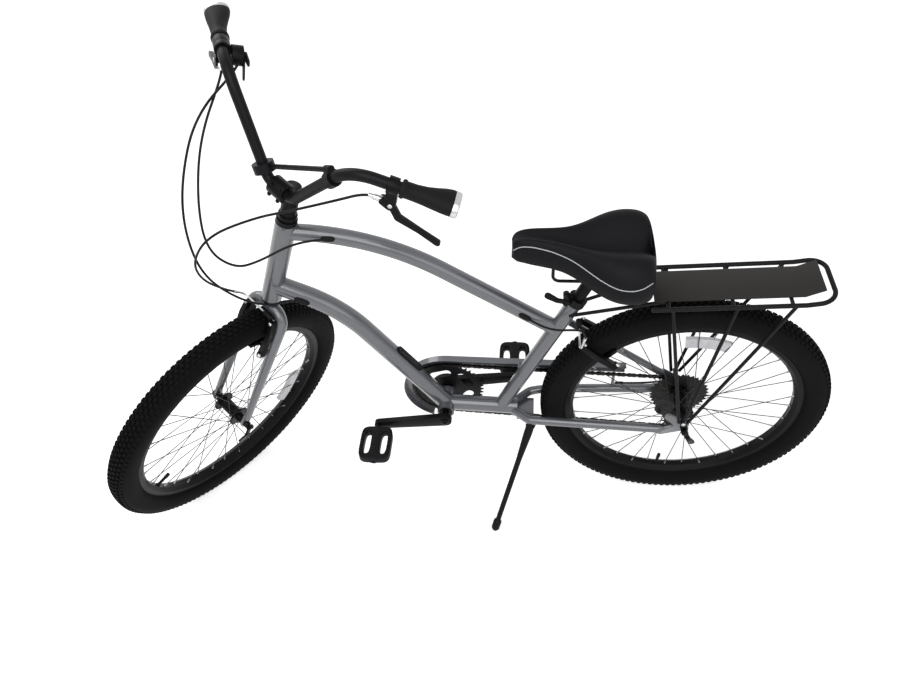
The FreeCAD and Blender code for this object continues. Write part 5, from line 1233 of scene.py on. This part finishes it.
# Grips: round at the lever end, spread into a palm rest at the outer end, with a clamped end ring
gripShape = {
    "sides": 28, "length": 0.105, "tilt": -25.0,
    "sections": [(0.0, 0.0156, 0.0156, 0.0156), (0.03, 0.0174, 0.0174, 0.0174),
                 (0.06, 0.0174, 0.0174, 0.0174), (0.085, 0.0150, 0.0150, 0.0150),
                 (0.25, 0.0154, 0.0152, 0.0152), (0.42, 0.0178, 0.0162, 0.0158),
                 (0.58, 0.0226, 0.0180, 0.0162), (0.72, 0.0276, 0.0194, 0.0162),
                 (0.84, 0.0300, 0.0200, 0.0160), (0.89, 0.0296, 0.0198, 0.0158)],
    "ring": [(0.892, 0.0292, 0.0196, 0.0156), (0.905, 0.0302, 0.0204, 0.0164),
             (0.985, 0.0294, 0.0198, 0.0160), (1.0, 0.0274, 0.0178, 0.0144)]}


def gripRing(side, share, back, front, tall):
    end, out, down, rider = gripFrame(side)
    tilt = radians(gripShape["tilt"])
    palm, low = rider * cos(tilt) + down * sin(tilt), down * cos(tilt) - rider * sin(tilt)
    centre = end - out * (gripShape["length"] * (1 - share))
    points = []
    for k in range(gripShape["sides"]):
        angle = 2 * pi * k / gripShape["sides"]
        reach = back if cos(angle) > 0 else front
        points.append(centre + palm * (reach * cos(angle)) + low * (tall * sin(angle)))
    return points


def makeGrips():
    grips, rings = [], []
    for side in (1, -1):
        grips.append(skinRings("grip", [gripRing(side, *section) for section in gripShape["sections"]]))
        rings.append(skinRings("ring", [gripRing(side, *section) for section in gripShape["ring"]]))
    place("grips", mergedMesh("grips", grips), [gripSkin], "steering", "grip_rubber", ["grips"], 50)
    place("gripRings", mergedMesh("gripRings", rings), [steel], "steering", "bright_alloy", angle=40)


makeGrips()
print("grips shaped")


# Small parts: adjusters, port plugs, bolts and studs
adjusterShape = {"sides": 18, "profile": [(-0.009, 0.0030), (-0.009, 0.0042), (-0.002, 0.0042), (0.0, 0.0054),
                                          (0.014, 0.0062), (0.0155, 0.0056), (0.0158, 0.0052)]}


def makeAdjusters():
    meshes = []
    for side in (1, -1):
        foot, out = leverPoint(side, *controls["adjuster"]), gripFrame(side)[1]
        meshes.append(latheMesh("adjuster", adjusterShape["profile"], foot, out, adjusterShape["sides"]))
    place("cableAdjusters", mergedMesh("adjusters", meshes), [steel], "steering", "bright_alloy", angle=30)


plugShape = {"sides": 18, "least": 0.06, "shares": (0.0, 0.06, 0.18, 0.5, 0.82, 0.94, 1.0)}


def plugMesh(spotAt, along, outWay, length, width, height):
    cross = along.cross(outWay).normalized()
    angles = [2 * pi * k / plugShape["sides"] for k in range(plugShape["sides"])]
    rings = []
    for share in plugShape["shares"]:
        size = max(plugShape["least"], (1 - (2 * share - 1) ** 4) ** 0.5)
        centre = spotAt + along * (length * (share - 0.5))
        tall, wide = outWay * (height * size), cross * (width * size)
        rings.append([centre + tall * cos(angle) + wide * sin(angle) for angle in angles])
    return skinRings("plug", rings)


portPlugs = [  # place, direction along the tube, length, half width, half height
    ((0.790, 0.0185, 0.8621), (-0.186, 0.0, -0.006), 0.030, 0.0064, 0.0058),
    ((0.876, 0.0225, 0.6862), (-0.1378, 0.0, -0.0692), 0.036, 0.0075, 0.0060),
    ((0.385, 0.0180, 0.6470), (-0.384, 0.0, -0.263), 0.032, 0.0068, 0.0060),
    ((0.140, -0.0745, 0.3180), (-1.0, -0.04, 0.0), 0.026, 0.0055, 0.0050),
]


def makePlugs():
    meshes = []
    for where, along, length, width, height in portPlugs:
        way = (aheadWay * along[0] + leftWay * along[1] + upWay * along[2]).normalized()
        out = leftWay if where[1] > 0 else -leftWay
        meshes.append(plugMesh(bike(*where), way, out, length, width, height))
    place("cablePlugs", mergedMesh("plugs", meshes), [padSkin], "frame", "black_plastic", angle=50)


boltPlaces = {"stem": 0.0150, "stemAcross": (-0.012, 0.012), "stemUp": (-0.0135, 0.0135),
              "stemBolt": (0.0042, 0.0040), "crank": ((1, 0.064), (-1, 0.072)), "crankBolt": (0.0095, 0.0045),
              "lever": (0.006, 0.038), "leverOut": 0.009, "leverPin": (0.0042, 0.0024)}


def makeBolts():
    up, ahead = barShape["foot"][1], barShape["foot"][2] + boltPlaces["stem"]
    spots = [steered(across, up + lift, ahead) for across in boltPlaces["stemAcross"]
             for lift in boltPlaces["stemUp"]]
    boltsAt("stemBolts", spots, [steerAhead] * 4, *boltPlaces["stemBolt"], alloy, "steering", "black_alloy")
    spots, stands = [], []
    for side, outer in boltPlaces["crank"]:
        spots.append(bike(layout["crankAhead"], side * outer, layout["wheelRadius"] - layout["crankDrop"]))
        stands.append(leftWay * side)
    boltsAt("crankBolts", spots, stands, *boltPlaces["crankBolt"], alloy, "crank", "black_alloy")
    for side, name in ((1, "leftLeverPin"), (-1, "rightLeverPin")):
        foot, rider = leverPoint(side, *boltPlaces["lever"]), gripFrame(side)[3]
        faces = [rider, -rider]
        spots = [foot + way * boltPlaces["leverOut"] for way in faces]
        boltsAt(name, spots, faces, *boltPlaces["leverPin"], steel, "steering", "bright_steel")


# Platform pedals: a rounded body with two openings, its barrel and low studs
pedalShape = {"half": (0.039, 0.048), "round": 5.0, "thick": 0.0107, "edge": 0.0022, "open": (0.0082, 0.033),
              "openAt": 0.0203, "openRound": 3.0, "barrel": 0.0109, "bore": 0.0048, "boss": 0.0012,
              "steps": 48, "seam": 24, "barrelSides": 32}
studShape = {"ahead": (-0.0325, 0.0325), "across": (-0.033, -0.011, 0.011, 0.033), "lift": 0.0105,
             "sides": 10, "profile": [(0.0, 0.0022), (0.002, 0.0021), (0.0025, 0.0016), (0.00255, 0.0002)]}


def roundedReach(x, y, halves, power):
    return (abs(x / halves[0]) ** power + abs(y / halves[1]) ** power) ** (-1 / power)


def pedalRings():
    # the border of one half of the body and, seen from the opening's middle, the border of the opening
    halves, steps, seam = pedalShape["half"], pedalShape["steps"], pedalShape["seam"]
    border = []
    for count in range(steps + 1):
        angle = pi * (count / steps - 0.5)
        reach = roundedReach(cos(angle), sin(angle), halves, pedalShape["round"])
        border.append((cos(angle) * reach if 0 < count < steps else 0.0, sin(angle) * reach))
    border += [(0.0, halves[1] * (1 - 2 * count / seam)) for count in range(1, seam)]
    opening = []
    for x, y in border:
        reach = roundedReach(x - pedalShape["openAt"], y, pedalShape["open"], pedalShape["openRound"])
        opening.append((pedalShape["openAt"] + (x - pedalShape["openAt"]) * reach, y * reach))
    return border, opening


def pedalMesh(middle):
    points, faces = [], []
    border, opening = pedalRings()
    total = len(border)
    for way in (1, -1):
        base = len(points)
        for ring in (border, opening):
            for lift in (1, -1):
                points += [middle + aheadWay * (way * x) + leftWay * y + upWay * (lift * pedalShape["thick"])
                           for x, y in ring]
        for here in range(total):
            there = (here + 1) % total
            edges = [(base + total * row + here, base + total * row + there) for row in range(4)]
            pairs = [(0, 2), (1, 3), (2, 3)]
            if border[here][0] > 0 or border[there][0] > 0:
                pairs.append((0, 1))
            faces += [(*edges[a], *reversed(edges[b])) for a, b in pairs]
    shape = bmesh.new()
    shape.from_mesh(meshFrom("pedalHalves", points, faces))
    bmesh.ops.remove_doubles(shape, verts=shape.verts, dist=1e-6)
    bmesh.ops.recalc_face_normals(shape, faces=shape.faces)
    rims = [e for e in shape.edges if len(e.link_faces) == 2 and e.calc_face_angle(0) > radians(50)]
    bmesh.ops.bevel(shape, geom=rims, offset=pedalShape["edge"], segments=3, profile=0.5, affect="EDGES")
    body = bpy.data.meshes.new("pedalBody")
    shape.to_mesh(body)
    shape.free()
    reach = pedalShape["half"][1] + pedalShape["boss"]
    tube = [(-reach, pedalShape["bore"]), (-reach, pedalShape["barrel"]), (reach, pedalShape["barrel"]),
            (reach, pedalShape["bore"])]
    barrel = latheMesh("pedalBarrel", tube, middle, leftWay, pedalShape["barrelSides"], loop=True)
    return mergedMesh("pedal", [body, barrel])


def makePedals():
    for word in ("left", "right"):
        low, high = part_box(word + "_pedal")
        middle = (Vector(low) + Vector(high)) / 2
        body = word + "_pedal_body"
        place(word + "Pedal", pedalMesh(middle), [plastic], body, "black_plastic", [word + "_pedal"], 38)
        spots, stands = [], []
        for ahead in studShape["ahead"]:
            for across in studShape["across"]:
                for way in (1, -1):
                    stands.append(upWay * way)
                    flat = middle + aheadWay * ahead + leftWay * across
                    spots.append(flat + stands[-1] * studShape["lift"])
        stud = latheMesh("stud", studShape["profile"], Vector(), zAxis, studShape["sides"])
        mesh = scatter(stud, spots, stands, [aheadWay] * len(spots), alloy)
        place(word + "PedalStuds", mesh, [alloy], body, "black_alloy", angle=40)


# Kickstand: a thick neck that tapers from the knuckle onto the leg
neckShape = {"sides": 24, "tip": 0.97,
             "profile": [(0.0058, 0.0096), (0.014, 0.0108), (0.032, 0.0106), (0.050, 0.0096),
                         (0.085, 0.0080), (0.096, 0.0073)]}


def makeKickNeck():
    pivot = spot("kickstand_fold")
    shape = nodeShape("kickstand_leg")
    reach = max((vert.co - pivot).length for vert in shape.verts)
    tips = [vert.co.copy() for vert in shape.verts if (vert.co - pivot).length > reach * neckShape["tip"]]
    shape.free()
    along = (sum(tips, Vector()) / len(tips) - pivot).normalized()
    mesh = latheMesh("kickNeck", neckShape["profile"], pivot, along, neckShape["sides"])
    place("kickstandNeck", mesh, [black], "kickstand", "black_satin", angle=60)


makeAdjusters()
makePlugs()
makeBolts()
makePedals()
makeKickNeck()
print("small parts fitted")


# Floor, world and lamps
stageLook = {"floor": 14.0, "paper": shade(0.94, 0.94, 0.94), "rough": 0.9, "nearGlow": 0.60, "farGlow": 0.80,
             "near": 0.9, "far": 2.6, "sky": 0.26}
lamps = [  # place, aim, size, power
    ((0.9, 1.9, 3.0), (0.55, 0.0, 0.5), 2.6, 66.0),
    ((-1.2, 2.2, 1.9), (0.4, 0.0, 0.5), 1.8, 16.0),
    ((2.2, -1.4, 2.4), (0.6, 0.0, 0.5), 1.6, 24.0),
]


def cameraShare(wire):
    rays = ("Camera", "Glossy", "Transmission")
    seen = [wire.add("ShaderNodeLightPath", out="Is " + ray + " Ray") for ray in rays]
    return wire.sums("MINIMUM", seen[0] + seen[1] + seen[2], 1.0)


def makeStage():
    size = stageLook["floor"] / 2
    corners = [(-size, -size, 0), (size, -size, 0), (size, size, 0), (-size, size, 0)]
    mesh = meshFrom("floor", corners, [(0, 1, 2, 3)])
    material = bpy.data.materials.new("floorPaper")
    material.use_nodes = True
    tree = material.node_tree
    wire = Wire(tree)
    shader = tree.nodes["Principled BSDF"]
    shader.inputs["Base Color"].default_value = stageLook["paper"]
    shader.inputs["Roughness"].default_value = stageLook["rough"]
    shader.inputs["Specular IOR Level"].default_value = 0.0
    place = wire.add("ShaderNodeTexCoord", out="Object")
    reach = wire.add("ShaderNodeVectorMath", {"operation": "LENGTH"}, {"Vector": place}, "Value")
    share = (reach - stageLook["near"]) * (1.0 / (stageLook["far"] - stageLook["near"]))
    glow = wire.blend(share, shade(*[stageLook["nearGlow"]] * 3), shade(*[stageLook["farGlow"]] * 3))
    tree.links.new(glow.socket, shader.inputs["Emission Color"])
    tree.links.new(cameraShare(wire).socket, shader.inputs["Emission Strength"])
    floor = newObject("floorPlane", mesh, [material])
    world = bpy.data.worlds.new("studio")
    scene.world = world
    world.use_nodes = True
    wire = Wire(world.node_tree)
    backdrop = world.node_tree.nodes["Background"]
    backdrop.inputs["Color"].default_value = shade(1.0, 1.0, 1.0)
    strength = stageLook["sky"] + cameraShare(wire) * (1.0 - stageLook["sky"])
    world.node_tree.links.new(strength.socket, backdrop.inputs["Strength"])
    for number, (where, aim, wide, power) in enumerate(lamps):
        data = bpy.data.lights.new("softLamp%d" % number, "AREA")
        data.size = wide
        data.energy = power
        lamp = bpy.data.objects.new(data.name, data)
        lamp.location = bike(*where)
        lamp.rotation_euler = (bike(*aim) - lamp.location).to_track_quat("-Z", "Y").to_euler()
        scene.collection.objects.link(lamp)


makeStage()
print("stage lit")
